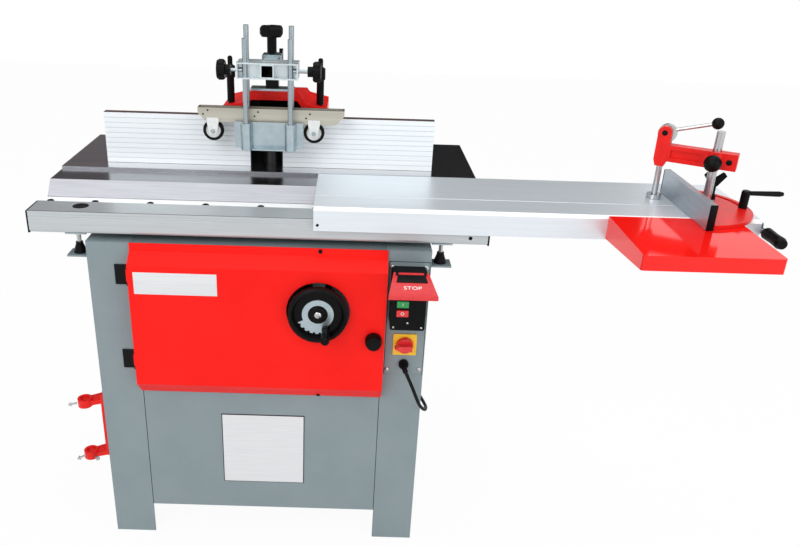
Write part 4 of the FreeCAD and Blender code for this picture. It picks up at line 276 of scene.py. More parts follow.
# Pieces with one finish
wear(grey_coat, "cabinet_left_side", "cabinet_right_side", "front_panel", "rear_panel", "switch_plate")
wear(red_coat, "door")
wear(tray_coat, "tray")
wear(red_cast, "mitre_plate", "clamp_arm", "support_bracket")
wear(black_coat, "hinge_leaves")
wear(black_plastic, "crank_grip", "door_knob", "switch_box", "cable_gland", "mitre_lever", "wing_knob",
     "left_hood_handle", "right_hood_handle", "top_knob", "arm_knob")
# The lift bracket wears dark oiled steel, darker than its bright steel, as painted shade inside the
# cabinet
wear(dark_steel, "lift_bracket", "spindle_pulley", "motor_pulley")
wear(bright_steel, "wheel_shaft", "lift_screw", "clamp_column", "press_rod")
wear(black_oxide, "spindle_shaft", "arbor_rings")
wear(casting_skin_and_shade, "spindle_housing")
wear(motor_coat, "motor")
wear(belt_rubber, "drive_belt")
wear(cord_rubber, "power_cord", "cord_coil", "cord_plug")
wear(green_plastic, "start_button")
wear(red_plastic, "stop_button", "stop_flap", "isolator_knob")
wear(yellow_plastic, "isolator_plate")
wear(ground_iron, "table_rings")
wear(mitre_alloy, "mitre_fence")

# Shares of a normal from which a face counts as square to an axis, sloping to it or turned towards it
square_share = 0.9
slope_share = 0.3
turned_share = 0.5
# Millimetres below a top within which a face still belongs to it
top_skin = 0.5

# Handwheel
wheel_axis = (133.0, 667.0)
crank_axis = (151.0, 631.0)
dial_back = -47.7
dial_front = -51.7
dial_inner = 20.5
lock_outer = 48.5
crank_boss = 9.3


def handwheel_finish(middle, normal):
    """Bright dial ring and lock plate on the dark wheel."""
    on_ring = dial_inner < from_axis(middle, wheel_axis) < lock_outer
    on_dial = on_ring and dial_front < middle.y < dial_back
    on_crank = from_axis(middle, crank_axis) <= crank_boss
    return zinc_plate if on_dial and not on_crank else black_plastic


wear_parts("handwheel", (black_plastic, zinc_plate), handwheel_finish)

# Castors: pale webs in black tyres
castor_level = 1001.0
castor_places = (("castor_left", -128.5), ("castor_right", 107.7))
tyre_inner = 17.2


def castor_finish(middle, normal):
    """Black tyre round the pale web of the castor that is nearer."""
    from_axle = min(from_axis(middle, (x, castor_level)) for name, x in castor_places)
    return tyre_rubber if from_axle > tyre_inner else pale_plastic


for name, x in castor_places:
    wear_parts(name, (pale_plastic, tyre_rubber), castor_finish)

# Table, sliding table and rail
table_top = edge("table", "z", 1)
step_depth = 8.0


def table_finish(middle, normal):
    """Ground top, planed ledge and step, milled bevel, rough casting elsewhere."""
    near_top = middle.z > table_top - step_depth
    if normal.z > square_share and near_top:
        return ground_iron if middle.z > table_top - top_skin else ledge_iron
    if normal.z > slope_share and normal.y < -slope_share:
        return bevel_iron
    return ledge_iron if normal.y < -square_share and near_top else casting_skin_and_shade


wear_parts("table", (ground_iron, bevel_iron, casting_skin_and_shade, ledge_iron), table_finish)

slider_groove = 69.0
groove_half = 3.0
front_bevel_share = 0.4


def slider_finish(middle, normal):
    """Painted highlight on the groove floor and front bevel of the anodised profile."""
    in_groove = abs(middle.y - slider_groove) < groove_half and middle.z < table_top - top_skin
    groove_floor_highlight = in_groove and normal.z > square_share
    bevel_highlight = normal.y < -front_bevel_share and normal.z > front_bevel_share
    return painted_highlight_alloy if groove_floor_highlight or bevel_highlight else table_alloy


wear_parts("sliding_table", (table_alloy, painted_highlight_alloy), slider_finish)

flange_levels = (854.0, 866.0)


def rail_finish(middle, normal):
    """Painted reflection on the flange behind the drawn rail."""
    flange_reflection = normal.z > square_share and flange_levels[0] < middle.z < flange_levels[1]
    return painted_highlight_alloy if flange_reflection else drawn_alloy


wear_parts("rail", (drawn_alloy, painted_highlight_alloy), rail_finish)

# Fence boards
fence_front = edge("left_fence", "y", 0)
fence_top = edge("left_fence", "z", 1)
fence_skin = 1.2
groove_skin = 0.1


def fence_finish(middle, normal):
    """Pale face with shaded grooves, dark core elsewhere."""
    if middle.y > fence_front + fence_skin or middle.z > fence_top - top_skin:
        return fence_edge
    return painted_groove_shade if middle.y > fence_front + groove_skin else fence_alloy


for name in ("left_fence", "right_fence"):
    wear_parts(name, (fence_alloy, fence_edge, painted_groove_shade), fence_finish)

# Clamp lever with its ball, push grip with its rod
ball_width = 25.5
ball_left = edge("cam_lever", "x", 1) - ball_width
wear_parts("cam_lever", (bright_steel, black_plastic),
           lambda middle, normal: black_plastic if middle.x > ball_left else bright_steel)
grip_back = -21.0
wear_parts("push_grip", (zinc_plate, black_plastic),
           lambda middle, normal: black_plastic if middle.y < grip_back else zinc_plate)

# Press bar
bar_low = 1021.5
bar_high = 1056.0
bar_face = 225.9


def press_bar_finish(middle, normal):
    """Pale front, dark upper flange, white forks and zinc rods."""
    if middle.z < bar_low or middle.y < bar_face:
        return pale_plastic
    if middle.z > bar_high:
        return zinc_rod
    return black_coat if normal.z > square_share else pale_bar


wear_parts("press_bar", (pale_bar, pale_plastic, black_coat, zinc_rod), press_bar_finish)

# Hood
hood_middle = midway(ends("hood", "x"))
hood_front = edge("hood", "y", 0)
hood_skin = 12.0
hood_inward = 20.0
outlet_face = 470.0
outlet_spot = (hood_middle, 975.0)
outlet_bore = 48.0


def hood_finish(middle, normal):
    """Enamel outside, dark casting skin as painted shade inside the hood and its outlet."""
    if normal.y < -turned_share:
        inside = middle.y > hood_front + hood_skin
    elif middle.y > outlet_face:
        inside = from_axis(middle, outlet_spot) < outlet_bore
    else:
        inside = normal.x * (middle.x - hood_middle) < -hood_inward or normal.z < -slope_share
    return casting_skin_and_shade if inside else red_cast


wear_parts("hood", (red_cast, casting_skin_and_shade), hood_finish)

# Pressing device: post, tube, side knobs and shoe
sleeve_low = 1124.0
sleeve_high = 1168.2
sleeve_back = 330.2
post_strip = 1087.5


def press_post_finish(middle, normal):
    """Zinc strip and sleeve, black neck between them and black stop behind."""
    if middle.z < sleeve_low:
        return black_coat if middle.z > post_strip else zinc_plate
    return black_coat if middle.y > sleeve_back or middle.z > sleeve_high else zinc_plate


wear_parts("press_post", (zinc_plate, black_coat), press_post_finish)

tube_middle = (midway(ends("press_tube", "x")), 1146.0)
tube_inside = 12.7


def press_tube_finish(middle, normal):
    """Zinc outside, black as painted shade inside the square tube."""
    across = abs(middle.x - tube_middle[0])
    up = abs(middle.z - tube_middle[1])
    inside = across < tube_inside and up < tube_inside and abs(normal.y) < turned_share
    return black_coat if inside else lit_zinc_sheet


wear_parts("press_tube", (lit_zinc_sheet, black_coat), press_tube_finish)

star_height = 30.0
left_head = edge("left_star_knob", "x", 0) + star_height
right_head = edge("right_star_knob", "x", 1) - star_height
knob_and_stud = (black_plastic, zinc_rod)
wear_parts("left_star_knob", knob_and_stud,
           lambda middle, normal: zinc_rod if middle.x > left_head else black_plastic)
wear_parts("right_star_knob", knob_and_stud,
           lambda middle, normal: zinc_rod if middle.x < right_head else black_plastic)

shoe_rods = 1027.0
wear_parts("press_shoe", (zinc_plate, zinc_rod),
           lambda middle, normal: zinc_rod if middle.z > shoe_rods else zinc_plate)


# Cord: the route from the gland to the coil under the cabinet, then the coil and its plug
cord_diameter = 8.0
cord_route = (
    (336.5, -30.7, 514.2), (349.1, -47.2, 492.6), (360.9, -50.9, 464.2), (372.1, -43.6, 434.0),
    (388.0, -24.0, 409.0), (395.0, 10.0, 396.0), (391.0, 48.0, 388.0), (386.0, 96.0, 376.0),
    (385.0, 146.0, 346.0), (386.0, 180.0, 292.0), (388.0, 195.0, 222.0), (391.0, 198.0, 148.0),
    (393.0, 199.0, 84.0), (380.0, 202.0, 34.0), (346.0, 208.0, 9.0), (302.0, 218.0, 4.2),
    (254.0, 230.0, 4.2), (208.0, 230.0, 4.2))
coil_radius = 55.0
coil_pitch = 8.8
coil_layer_turns = 2.5
coil_climb_turns = 0.5
coil_end_straight = 8.0
coil_steps = 16
full_turn = 2 * math.pi


def coil_place(turns):
    """Point on the coil after so many turns: in along the floor, up in half a turn, out on top."""
    inner = coil_radius - coil_pitch * coil_layer_turns
    past = turns - coil_layer_turns
    if past <= 0:
        radius, rise = inner - coil_pitch * past, 0
    elif past < coil_climb_turns:
        radius = inner - coil_pitch * math.sin(full_turn * past) / full_turn
        rise = coil_pitch * (1 - math.cos(full_turn * past)) / 2
    else:
        radius, rise = inner + coil_pitch * (past - coil_climb_turns), coil_pitch
    angle = -full_turn / 4 - full_turn * turns
    start_x, start_y, start_z = cord_route[-1]
    return (start_x - coil_end_straight + radius * math.cos(angle),
            start_y + coil_radius + radius * math.sin(angle), start_z + rise)


coil_turns = 2 * coil_layer_turns + coil_climb_turns
coil_points = [coil_place(step / coil_steps) for step in range(int(coil_turns * coil_steps) + 1)]
last_x, last_y, last_z = coil_points[-1]
cord_points = [*cord_route, *coil_points, (last_x + coil_end_straight, last_y, last_z)]
cord_curve = bpy.data.curves.new("mains_cord", "CURVE")
cord_curve.dimensions = "3D"
cord_curve.bevel_depth = cord_diameter / 2 * mm
cord_curve.bevel_resolution = 4
cord_curve.resolution_u = 6
cord_curve.use_fill_caps = True
cord_line = cord_curve.splines.new("NURBS")
cord_line.points.add(len(cord_points) - 1)
for control, point in zip(cord_line.points, cord_points):
    control.co = (*spot(*point), 1.0)
cord_line.order_u = 3
cord_line.use_endpoint_u = True
mains_cord = bpy.data.objects.new("mains_cord", cord_curve)
bpy.context.collection.objects.link(mains_cord)
cord_curve.materials.append(cord_rubber)
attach(mains_cord, "frame")
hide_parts("power_cord", "cord_coil")


# Ways of making the small fittings
upward = (0, 0, 1)
forward = (0, -1, 0)
smooth_angle = math.radians(35)
ease_segments = 2
screw_sides = 24
letter_depth = 0.3
# Rings of a screw head as shares of its radius and height: a cap with a socket, a dome with a dimple
cap_shares = ((1, 0), (1, 0.8), (0.86, 1), (0.52, 1), (0.46, 0.45))
dome_shares = ((1, 0), (0.96, 0.35), (0.75, 0.75), (0.42, 1), (0.22, 1), (0.16, 0.6))


def begin():
    """Leave nothing selected before a new piece is started."""
    bpy.ops.object.select_all(action="DESELECT")


def pushed_up(profile, sides):
    """Turned piece on Z: a disc pushed up through rings, each given by its radius and height."""
    begin()
    bpy.ops.mesh.primitive_circle_add(vertices=sides, radius=profile[0][0] * mm, fill_type="NGON",
                                      location=(0, 0, profile[0][1] * mm))
    bpy.ops.object.transform_apply(location=True)
    bpy.ops.object.mode_set(mode="EDIT")
    bpy.ops.mesh.select_all(action="SELECT")
    for (radius, height), (next_radius, next_height) in zip(profile, profile[1:]):
        rise = (0, 0, (next_height - height) * mm)
        bpy.ops.mesh.extrude_region_move(TRANSFORM_OT_translate={"value": rise})
        widen = next_radius / radius
        bpy.ops.transform.resize(value=(widen, widen, 1), center_override=(0, 0, next_height * mm))
    bpy.ops.mesh.select_all(action="SELECT")
    bpy.ops.mesh.normals_make_consistent(inside=False)
    bpy.ops.object.mode_set(mode="OBJECT")
    return bpy.context.object


def eased_block(size, ease):
    """Block centred on the origin with all its edges eased."""
    begin()
    bpy.ops.mesh.primitive_cube_add(size=1)
    bpy.context.object.scale = [side * mm for side in size]
    bpy.ops.object.transform_apply(scale=True)
    bpy.ops.object.mode_set(mode="EDIT")
    bpy.ops.mesh.select_all(action="SELECT")
    bpy.ops.mesh.bevel(offset=ease * mm, segments=ease_segments, affect="EDGES")
    bpy.ops.object.mode_set(mode="OBJECT")
    return bpy.context.object


def screw_head(shares, radius, height):
    """Round head turned to rings that are shares of its radius and height."""
    return pushed_up([(radius * wide, height * high) for wide, high in shares], screw_sides)


def set_down(piece, name, place, axis, body, finish, slot):
    """Turn a piece from Z to an axis, move it to its place and let it ride on a body."""
    begin()
    bpy.context.view_layer.objects.active = piece
    piece.select_set(True)
    piece.name = name
    lean = Vector(upward).rotation_difference(Vector(axis)).to_matrix().to_4x4()
    piece.matrix_world = Matrix.Translation(spot(*place)) @ lean
    bpy.ops.object.transform_apply(location=True, rotation=True, scale=True)
    bpy.ops.object.shade_smooth_by_angle(angle=smooth_angle)
    piece.data.materials.clear()
    piece.data.materials.append(finish)
    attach(piece, body)


def set_down_all(piece, name, places, axis, body, finish, slot):
    """Set copies of one shape down at several places, each with its own mesh."""
    for number, place in enumerate(places, 1):
        twin = piece.copy()
        twin.data = piece.data.copy()
        bpy.context.collection.objects.link(twin)
        set_down(twin, f"{name}_{number}", place, axis, body, finish, slot)
    bpy.data.objects.remove(piece)


def lettering(text, height, place, name, body, lean=0.0):
    """Raised lettering that faces the front, leaning back by some degrees."""
    begin()
    bpy.ops.object.text_add()
    words = bpy.context.object
    words.data.body = text
    words.data.size = height * mm
    words.data.align_x = "CENTER"
    words.data.align_y = "CENTER"
    words.data.extrude = letter_depth * mm
    bpy.ops.object.convert(target="MESH")
    words = bpy.context.object
    words.name = name
    tilt = Matrix.Rotation(math.radians(90 - lean), 4, "X")
    words.matrix_world = Matrix.Translation(spot(*place)) @ tilt
    bpy.ops.object.transform_apply(location=True, rotation=True, scale=True)
    words.data.materials.clear()
    words.data.materials.append(white_ink)
    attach(words, body)


# Finish and record slot of the fittings
dark_plastic = (black_plastic, "black_plastic")
dark_screw = (black_coat, "black_paint")
steel_screw = (bright_steel, "bright_steel")
zinc_fitting = (zinc_plate, "bright_steel")
plain_plate = (bare_plate, "light_alloy")
grey_paint = (grey_coat, "cabinet_paint")


# Rail: end caps, bolt heads along its back, a dark strip as painted shade in the seam and a plug in its
# top, a hole cover in its front
rail_x = ends("rail", "x")
rail_z = ends("rail", "z")
rail_cap_thickness = 4.0
rail_cap_depth = 69.0
rail_cap_ease = 1.0
rail_cap_size = (rail_cap_thickness, rail_cap_depth, rail_z[1] - rail_z[0])
for name, x in (("rail_cap_left", rail_x[0] - rail_cap_thickness / 2),
                ("rail_cap_right", rail_x[1] + rail_cap_thickness / 2)):
    cap = eased_block(rail_cap_size, rail_cap_ease)
    set_down(cap, name, (x, rail_cap_depth / 2, midway(rail_z)), upward, "frame", *dark_plastic)

rail_bolt_radius = 7.5
rail_bolt_height = 5.0
rail_bolt_row = 89.0
rail_bolt_end = -478.0
rail_bolt_first = -377.5
rail_bolt_spacing = 124.5
rail_bolt_count = 7
rail_flange_top = 861.0
bolt_columns = [rail_bolt_end]
for index in range(rail_bolt_count):
    bolt_columns.append(rail_bolt_first + index * rail_bolt_spacing)
rail_bolt_places = [(x, rail_bolt_row, rail_flange_top) for x in bolt_columns]
rail_bolt = screw_head(cap_shares, rail_bolt_radius, rail_bolt_height)
set_down_all(rail_bolt, "rail_bolt", rail_bolt_places, upward, "frame", *dark_screw)

# Dark strip along the top near the front edge: painted shade in the rail's narrow seam groove
seam_width = 2.0
seam_height = 0.3
seam_inset = 1.5
seam_ease = 0.1
painted_seam_shade = eased_block((rail_x[1] - rail_x[0], seam_width, seam_height), seam_ease)
rail_seam_place = (midway(rail_x), seam_inset, rail_z[1])
set_down(painted_seam_shade, "painted_seam_shade", rail_seam_place, upward, "frame", *dark_plastic)

disc_sides = 40
plug_rings = ((17.5, 0), (17.5, 0.15), (16.8, 0.2), (10.0, 0.2), (9.0, 0.1))
plug_place = (-394.0, 41.0, rail_z[1])
rail_plug = pushed_up(plug_rings, disc_sides)
set_down(rail_plug, "rail_plug", plug_place, upward, "frame", *dark_plastic)
hole_cover_rings = ((4.2, 0), (4.2, 0.4), (3.2, 0.8), (2.0, 0.3))
hole_cover_place = (459.0, 0.0, 837.0)
hole_cover = pushed_up(hole_cover_rings, screw_sides)
set_down(hole_cover, "rail_hole_cover", hole_cover_place, forward, "frame", *dark_plastic)

# Cabinet: cover strips over the hollow tops of the front legs
leg_inner = 280.0
leg_outer = 379.0
leg_middle = midway((leg_inner, leg_outer))
leg_cover_depth = 60.0
leg_cover_thickness = 1.6
leg_cover_margin = 0.6
leg_cover_ease = 0.4
leg_cover_size = (leg_outer - leg_inner - leg_cover_margin, leg_cover_depth, leg_cover_thickness)
panel_z = ends("front_panel", "z")
for name, x in (("leg_cover_left", -leg_middle), ("leg_cover_right", leg_middle)):
    cover = eased_block(leg_cover_size, leg_cover_ease)
    set_down(cover, name, (x, leg_cover_depth / 2, panel_z[1]), upward, "frame", *grey_paint)

# Dark seams between the lower front panel and the legs
panel_seam_width = 1.4
panel_seam_depth = 0.4
panel_seam_size = (panel_seam_width, panel_seam_depth, panel_z[1] - panel_z[0])
for name, x in (("panel_seam_left", -leg_inner), ("panel_seam_right", leg_inner)):
    strip = eased_block(panel_seam_size, seam_ease)
    set_down(strip, name, (x, 0, midway(panel_z)), upward, "frame", *dark_plastic)

# Levelling feet between the ears and the rail: black cone, bolt on top of it and zinc seat
ear_top = 769.0
leveller_spots = ((-400.0, 25.0), (400.0, 25.0))
hexagon_sides = 6
cone_sides = 28
cone_height = 24.0
cone_rings = ((14.0, 0), (14.0, 3.0), (8.0, 20.0), (8.0, cone_height))
leveller_bolt_rings = ((5.0, 0), (5.0, 18.0), (9.0, 18.2), (9.0, 24.0), (6.0, 24.2))
cone_top = ear_top + cone_height
seat_thickness = 3.0
seat_size = (46.0, 40.0, seat_thickness)
seat_ease = 0.8
seat_level = rail_z[0] - seat_thickness / 2
for number, (x, y) in enumerate(leveller_spots, 1):
    cone = pushed_up(cone_rings, cone_sides)
    set_down(cone, f"leveller_cone_{number}", (x, y, ear_top), upward, "frame", *dark_plastic)
    bolt = pushed_up(leveller_bolt_rings, hexagon_sides)
    set_down(bolt, f"leveller_bolt_{number}", (x, y, cone_top), upward, "frame", *steel_screw)
    seat = eased_block(seat_size, seat_ease)
    set_down(seat, f"leveller_seat_{number}", (x, y, seat_level), upward, "frame", *zinc_fitting)

# Door: a bare plate
plate_thickness = 1.0
door_plate_size = (182.0, plate_thickness, 52.0)
door_plate_ease = 0.35
door_plate_place = (-179.5, edge("door", "y", 0) - plate_thickness / 2, 724.0)
door_plate = eased_block(door_plate_size, door_plate_ease)
set_down(door_plate, "door_plate", door_plate_place, upward, "door", *plain_plate)

# Lower panel: a bare square plate with a raised frame, on a dark pad
panel_plate_width = 196.0
panel_plate_x = 3.0
panel_plate_z = 267.0
panel_plate_ease = 0.5
panel_frame_width = 7.0
panel_frame_rise = 0.8
flat_share = 0.99
panel_plate_size = (panel_plate_width, 2 * plate_thickness, panel_plate_width)
panel_plate = eased_block(panel_plate_size, panel_plate_ease)
bpy.ops.object.mode_set(mode="EDIT")
bpy.ops.mesh.select_all(action="DESELECT")
bpy.ops.object.mode_set(mode="OBJECT")
for face in panel_plate.data.polygons:
    face.select = face.normal.y < -flat_share
bpy.ops.object.mode_set(mode="EDIT")
bpy.ops.mesh.select_mode(type="FACE")
bpy.ops.mesh.inset(thickness=panel_frame_width * mm, depth=-panel_frame_rise * mm)
bpy.ops.object.mode_set(mode="OBJECT")
panel_plate_place = (panel_plate_x, -plate_thickness, panel_plate_z)
set_down(panel_plate, "panel_plate", panel_plate_place, upward, "frame", *plain_plate)

pad_margin = 1.8
pad_ease = 0.2
pad_width = panel_plate_width + 2 * pad_margin
panel_pad = eased_block((pad_width, plate_thickness, pad_width), pad_ease)
panel_pad_place = (panel_plate_x, -plate_thickness / 2, panel_plate_z)
set_down(panel_pad, "panel_plate_pad", panel_pad_place, upward, "frame", *dark_plastic)

# Switch gear: seal behind the plate, screws, marks on the buttons, word and dark window on the flap
switch_x = ends("switch_plate", "x")
switch_y = ends("switch_plate", "y")
switch_z = ends("switch_plate", "z")
seal_margin = 1.1
seal_thickness = 0.5
seal_ease = 0.1
seal_width = switch_x[1] - switch_x[0] + 2 * seal_margin
seal_height = switch_z[1] - switch_z[0] + 2 * seal_margin
plate_seal = eased_block((seal_width, seal_thickness, seal_height), seal_ease)
seal_place = (midway(switch_x), switch_y[1] - seal_thickness / 2, midway(switch_z))
set_down(plate_seal, "switch_plate_seal", seal_place, upward, "frame", *dark_plastic)

plate_screw_radius = 5.5
plate_screw_height = 2.6
plate_screw_columns = (294.0, 369.0)
plate_screw_levels = (765.0, 506.0)
plate_screw_places = [(x, switch_y[0], z) for x in plate_screw_columns for z in plate_screw_levels]
plate_screw = screw_head(dome_shares, plate_screw_radius, plate_screw_height)
set_down_all(plate_screw, "switch_plate_screw", plate_screw_places, forward, "frame", *steel_screw)

box_front = -50.0
box_middle = 330.5
box_screw_radius = 2.3
box_screw_height = 1.0
box_screw_reach = 31.0
box_screw_low = 641.0
box_screw_high = 652.0
box_screw_places = ((box_middle - box_screw_reach, box_front, box_screw_low),
                    (box_middle + box_screw_reach, box_front, box_screw_low),
                    (box_middle, box_front, box_screw_high))
box_screw = screw_head(dome_shares, box_screw_radius, box_screw_height)
set_down_all(box_screw, "switch_box_screw", box_screw_places, forward, "frame", *steel_screw)

mark_height = 10.0
mark_rise = 0.1
mark_x = midway(ends("start_button", "x"))
mark_y = edge("start_button", "y", 0) - mark_rise
start_place = (mark_x, mark_y, 698.0)
stop_place = (mark_x, mark_y, 676.0)
lettering("I", mark_height, start_place, "start_mark", "start_button")
lettering("O", mark_height, stop_place, "stop_mark", "stop_button")

flap_axis = (-58.0, 768.0)
flap_angle = 79.0
flap_sine = math.sin(math.radians(flap_angle))
flap_cosine = math.cos(math.radians(flap_angle))
flap_along = (-flap_sine, -flap_cosine)
flap_out = (-flap_cosine, flap_sine)


def on_flap(along, out):
    """Place in the middle of the flap, so far along it from its hinge and so far off it."""
    return (box_middle, flap_axis[0] + along * flap_along[0] + out * flap_out[0],
            flap_axis[1] + along * flap_along[1] + out * flap_out[1])


flap_word_height = 16.0
flap_word_place = on_flap(along=56.0, out=10.1)
lettering("STOP", flap_word_height, flap_word_place, "flap_lettering", "stop_flap",
          lean=flap_angle)
window_size = (66.0, 28.0, 2.0)
window_ease = 0.6
window_top_share = 0.88
window_place = on_flap(along=23.0, out=10.2)
flap_window = eased_block(window_size, window_ease)
for corner in flap_window.data.vertices:
    if corner.co.y > 0:
        corner.co.x *= window_top_share
set_down(flap_window, "flap_window", window_place, (0, *flap_out), "stop_flap", *dark_plastic)

# Handwheel hub: dark cap with a bright screw in it
wheel_x, wheel_z = wheel_axis
hub_front = -51.6
hub_cap_rings = ((19.0, 0), (19.0, 1.2), (17.5, 2.4), (10.0, 2.8))
hub_cap = pushed_up(hub_cap_rings, disc_sides)
set_down(hub_cap, "hub_cap", (wheel_x, hub_front, wheel_z), forward, "handwheel", *dark_plastic)
hub_screw_radius = 8.0
hub_screw_height = 3.4
hub_screw_front = -54.3
hub_screw = screw_head(dome_shares, hub_screw_radius, hub_screw_height)
set_down(hub_screw, "hub_screw", (wheel_x, hub_screw_front, wheel_z), forward, "handwheel", *steel_screw)

# Door: small dark screws in its top lip and on its slanted bottom
door_screw_radius = 4.5
door_screw_height = 3.0
door_screw_x = 135.0
door_slant = (0, -0.754, -0.657)
door_screws = (("door_screw_top", (door_screw_x, -5.0, 798.5), forward),
               ("door_screw_low", (door_screw_x, -8.5, 434.5), door_slant))
for name, place, lean in door_screws:
    screw = screw_head(cap_shares, door_screw_radius, door_screw_height)
    set_down(screw, name, place, lean, "door", *dark_screw)

# Bracket on the left side: thumb screws through its rings, each with its own lean
thumb_sides = 20
thumb_rings = ((2.5, 0), (2.5, 13.0), (5.5, 13.2), (5.5, 15.0), (3.0, 15.2), (3.0, 19.0), (1.6, 20.0))
thumb_screws = (((-441.0, -4.0, 387.5), (-0.9, -0.43, 0)),
                ((-436.0, -8.5, 238.0), (-0.7, -0.71, 0)),
                ((-412.0, -8.5, 238.0), (0.7, -0.71, 0)))
for number, (place, lean) in enumerate(thumb_screws, 1):
    screw = pushed_up(thumb_rings, thumb_sides)
    set_down(screw, f"bracket_screw_{number}", place, lean, "frame", *steel_screw)

# Press bar: small dark rivets in pairs
rivet_radius = 2.2
rivet_height = 0.8
rivet_front = 226.0
rivet_spots = ((-139.5, 1049.0), (-150.5, 1039.5), (-22.5, 1047.5), (-31.0, 1037.5),
               (98.0, 1046.0), (89.0, 1036.0))
rivet_places = [(x, rivet_front, z) for x, z in rivet_spots]
rivet = screw_head(dome_shares, rivet_radius, rivet_height)
set_down_all(rivet, "bar_rivet", rivet_places, forward, "press_bar", *dark_screw)

# Castor axles: nuts on the fronts of the forks
nut_rings = ((5.5, 0), (5.5, 2.4), (4.6, 3.2), (2.6, 3.2), (2.6, 4.4), (1.8, 5.0))
fork_face = edge("press_bar", "y", 0)
for name, x in castor_places:
    nut = pushed_up(nut_rings, hexagon_sides)
    set_down(nut, f"{name}_nut", (x, fork_face, castor_level), forward, "press_bar", *zinc_fitting)

# Hood: rubber lip across the top of the outlet, inside the back wall
lip_size = (104.0, 2.0, 32.0)
lip_ease = 0.5
lip_inset = 8.0
lip_level = 1010.0
lip_place = (hood_middle, outlet_face - lip_inset, lip_level)
outlet_lip = eased_block(lip_size, lip_ease)
set_down(outlet_lip, "outlet_lip", lip_place, upward, "hood", tyre_rubber, "black_plastic")

# Mitre fence: dark caps on both ends
mitre_x = ends("mitre_fence", "x")
mitre_y = ends("mitre_fence", "y")
mitre_z = ends("mitre_fence", "z")
mitre_cap_thickness = 3.0
mitre_cap_margin = 0.5
mitre_cap_ease = 0.8
mitre_cap_width = mitre_x[1] - mitre_x[0] + 2 * mitre_cap_margin
mitre_cap_size = (mitre_cap_width, mitre_cap_thickness, mitre_z[1] - mitre_z[0])
for name, y in (("mitre_fence_cap_front", mitre_y[0] - mitre_cap_thickness / 2),
                ("mitre_fence_cap_back", mitre_y[1] + mitre_cap_thickness / 2)):
    cap = eased_block(mitre_cap_size, mitre_cap_ease)
    set_down(cap, name, (midway(mitre_x), y, midway(mitre_z)), upward, "mitre", *dark_plastic)

# Clamp arm: pivot bolt on its head and pinch bolt through its split end
arm_facing = (-0.5038, -0.8638, 0)
arm_bolt_radius = 6.0
head_bolt_height = 1.0
pinch_bolt_height = 2.0
arm_bolts = (("head_bolt", head_bolt_height, (877.7, 109.8, 1054.0)),
             ("pinch_bolt", pinch_bolt_height, (997.2, 41.4, 1010.0)))
for name, height, place in arm_bolts:
    bolt = screw_head(cap_shares, arm_bolt_radius, height)
    set_down(bolt, name, place, arm_facing, "clamp_arm", *dark_screw)

# Sliding table: a small dark bolt in its front skirt near the left end
slider_bolt_radius = 3.2
slider_bolt_height = 1.0
slider_bolt_place = (127.7, edge("sliding_table", "y", 0), 862.0)
slider_bolt = screw_head(cap_shares, slider_bolt_radius, slider_bolt_height)
set_down(slider_bolt, "slider_bolt", slider_bolt_place, forward, "slider", *dark_screw)


# Stage: floor, world, walls and lamps, with lengths in metres
white = (1, 1, 1, 1)


def ray_share(tree, *kinds):
    """Socket that is 1 for rays of the given kinds and 0 for all others."""
    rays = add_node(tree, "ShaderNodeLightPath").outputs
    share = rays[kinds[0]]
    for kind in kinds[1:]:
        either = add_node(tree, "ShaderNodeMath", links={0: share, 1: rays[kind]}, operation="MAXIMUM")
        share = either.outputs[0]
    return share


# Floor of white paper: it takes soft shadows, and is nearly as white as the world when it is seen
floor_size = 14.0
floor_drop = 0.0005
paper_roughness = 0.9
paper_glow_share = 0.95
floor_level = cad_box[0][2] - floor_drop
begin()
bpy.ops.mesh.primitive_plane_add(size=floor_size, location=(0, 0, floor_level))
floor = bpy.context.object
floor.name = "studio_floor"
floor_paper = bpy.data.materials.new("white_paper")
floor_paper.use_nodes = True
tree = floor_paper.node_tree
paper = tree.nodes["Principled BSDF"]
paper.inputs["Base Color"].default_value = linear("#F2F2F2")
paper.inputs["Roughness"].default_value = paper_roughness
seen = ray_share(tree, "Is Camera Ray", "Is Glossy Ray")
glow_share = add_node(tree, "ShaderNodeMath", {1: paper_glow_share}, {0: seen}, operation="MULTIPLY")
glow = add_node(tree, "ShaderNodeEmission", {"Color": white})
paper_mix = {0: glow_share.outputs[0], 1: paper.outputs["BSDF"], 2: glow.outputs["Emission"]}
blend = add_node(tree, "ShaderNodeMixShader", links=paper_mix)
tree.links.new(blend.outputs["Shader"], tree.nodes["Material Output"].inputs["Surface"])
floor.data.materials.append(floor_paper)

# World: full white where it is seen, dimmer where it lights the part
world_strengths = {"To Min": 0.75, "To Max": 1.0}
world = bpy.data.worlds.new("studio_white")
bpy.context.scene.world = world
world.use_nodes = True
tree = world.node_tree
tree.nodes.clear()
seen = ray_share(tree, "Is Camera Ray", "Is Glossy Ray", "Is Transmission Ray")
strength = add_node(tree, "ShaderNodeMapRange", world_strengths, {"Value": seen}).outputs["Result"]
backdrop = add_node(tree, "ShaderNodeBackground", {"Color": white}, {"Strength": strength})
add_node(tree, "ShaderNodeOutputWorld", links={"Surface": backdrop.outputs["Background"]})

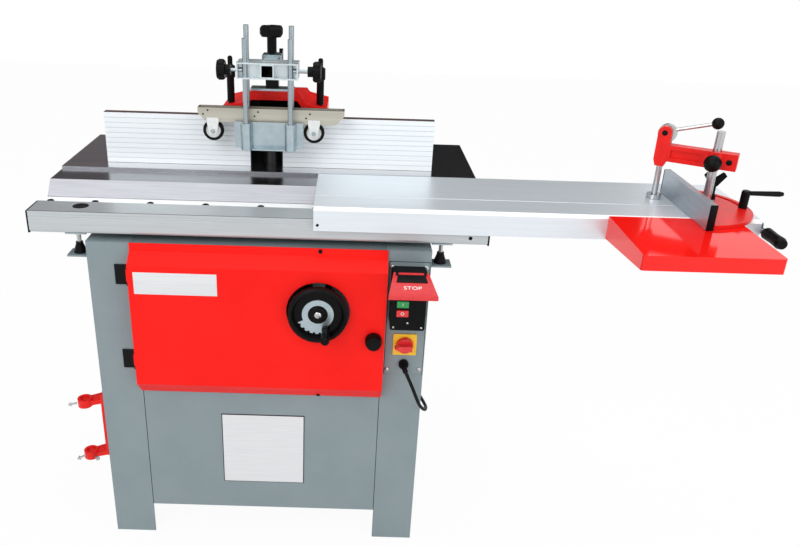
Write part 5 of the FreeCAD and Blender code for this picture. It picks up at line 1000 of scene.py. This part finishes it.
# Cloth walls, seen only in the shine of the metal: name, tone, width, place in plan, turn in degrees
wall_levels = (0.9, 4.0)
cloth_walls = (("grey_cloth_wall", "#6A6466", 3.25, (-2.375, 2.3), 0.0),
               ("black_cloth_wall", "#202021", 2.25, (0.375, 2.3), 0.0),
               ("left_cloth_wall", "#303133", 2.2, (-4.0, 0.2), 90.0),
               ("right_cloth_wall", "#303133", 2.2, (4.0, 0.2), 90.0))
for name, tone, width, place, turn in cloth_walls:
    bpy.ops.mesh.primitive_plane_add(size=1, location=(*place, midway(wall_levels)),
                                     rotation=(math.radians(90), 0, math.radians(turn)))
    wall = bpy.context.object
    wall.name = name
    wall.scale = (width, wall_levels[1] - wall_levels[0], 1)
    bpy.ops.object.transform_apply(location=True, rotation=True, scale=True)
    wall.visible_camera = False
    wall.visible_diffuse = False
    wall.visible_transmission = False
    wall.visible_shadow = False
    cloth = bpy.data.materials.new(name)
    cloth.use_nodes = True
    tree = cloth.node_tree
    glow = add_node(tree, "ShaderNodeEmission", {"Color": linear(tone)})
    tree.links.new(glow.outputs["Emission"], tree.nodes["Material Output"].inputs["Surface"])
    wall.data.materials.append(cloth)

# Square studio lamps that shine on one point: name, place, size, power in watts
aim_point = Vector((0.0, 0.0, 0.75))
lamps = (("key_lamp", (-1.6, -2.6, 2.9), 1.8, 42.0),
         ("fill_lamp", (2.4, -2.6, 1.9), 2.2, 22.0),
         ("top_lamp", (0.1, 0.3, 3.4), 2.4, 22.0))
for name, place, size, power in lamps:
    bpy.ops.object.light_add(type="AREA", location=place)
    lamp = bpy.context.object
    lamp.name = name
    lamp.rotation_euler = (aim_point - Vector(place)).to_track_quat("-Z", "Y").to_euler()
    lamp.data.shape = "SQUARE"
    lamp.data.size = size
    lamp.data.energy = power

# Camera found from the photograph's edges: place in millimetres, slope and roll in degrees
camera_place = (185.5, -1574.0, 1443.75)
camera_slope = 23.9
camera_roll = 1.7
picture_width = 800
focal_pixels = 779
axis_pixel = 343
sensor_width = 36.0
nearest_seen = 0.05
bpy.ops.object.camera_add(location=spot(*camera_place))
camera = bpy.context.object
tilt = Matrix.Rotation(math.radians(90 - camera_slope), 3, "X")
roll = Matrix.Rotation(math.radians(camera_roll), 3, "Z")
camera.rotation_euler = (tilt @ roll).to_euler()
camera.data.sensor_width = sensor_width
camera.data.sensor_fit = "HORIZONTAL"
camera.data.lens = sensor_width * focal_pixels / picture_width
camera.data.shift_x = (picture_width / 2 - axis_pixel) / picture_width
camera.data.clip_start = nearest_seen
bpy.context.scene.camera = camera
bpy.context.scene.view_settings.view_transform = "Standard"
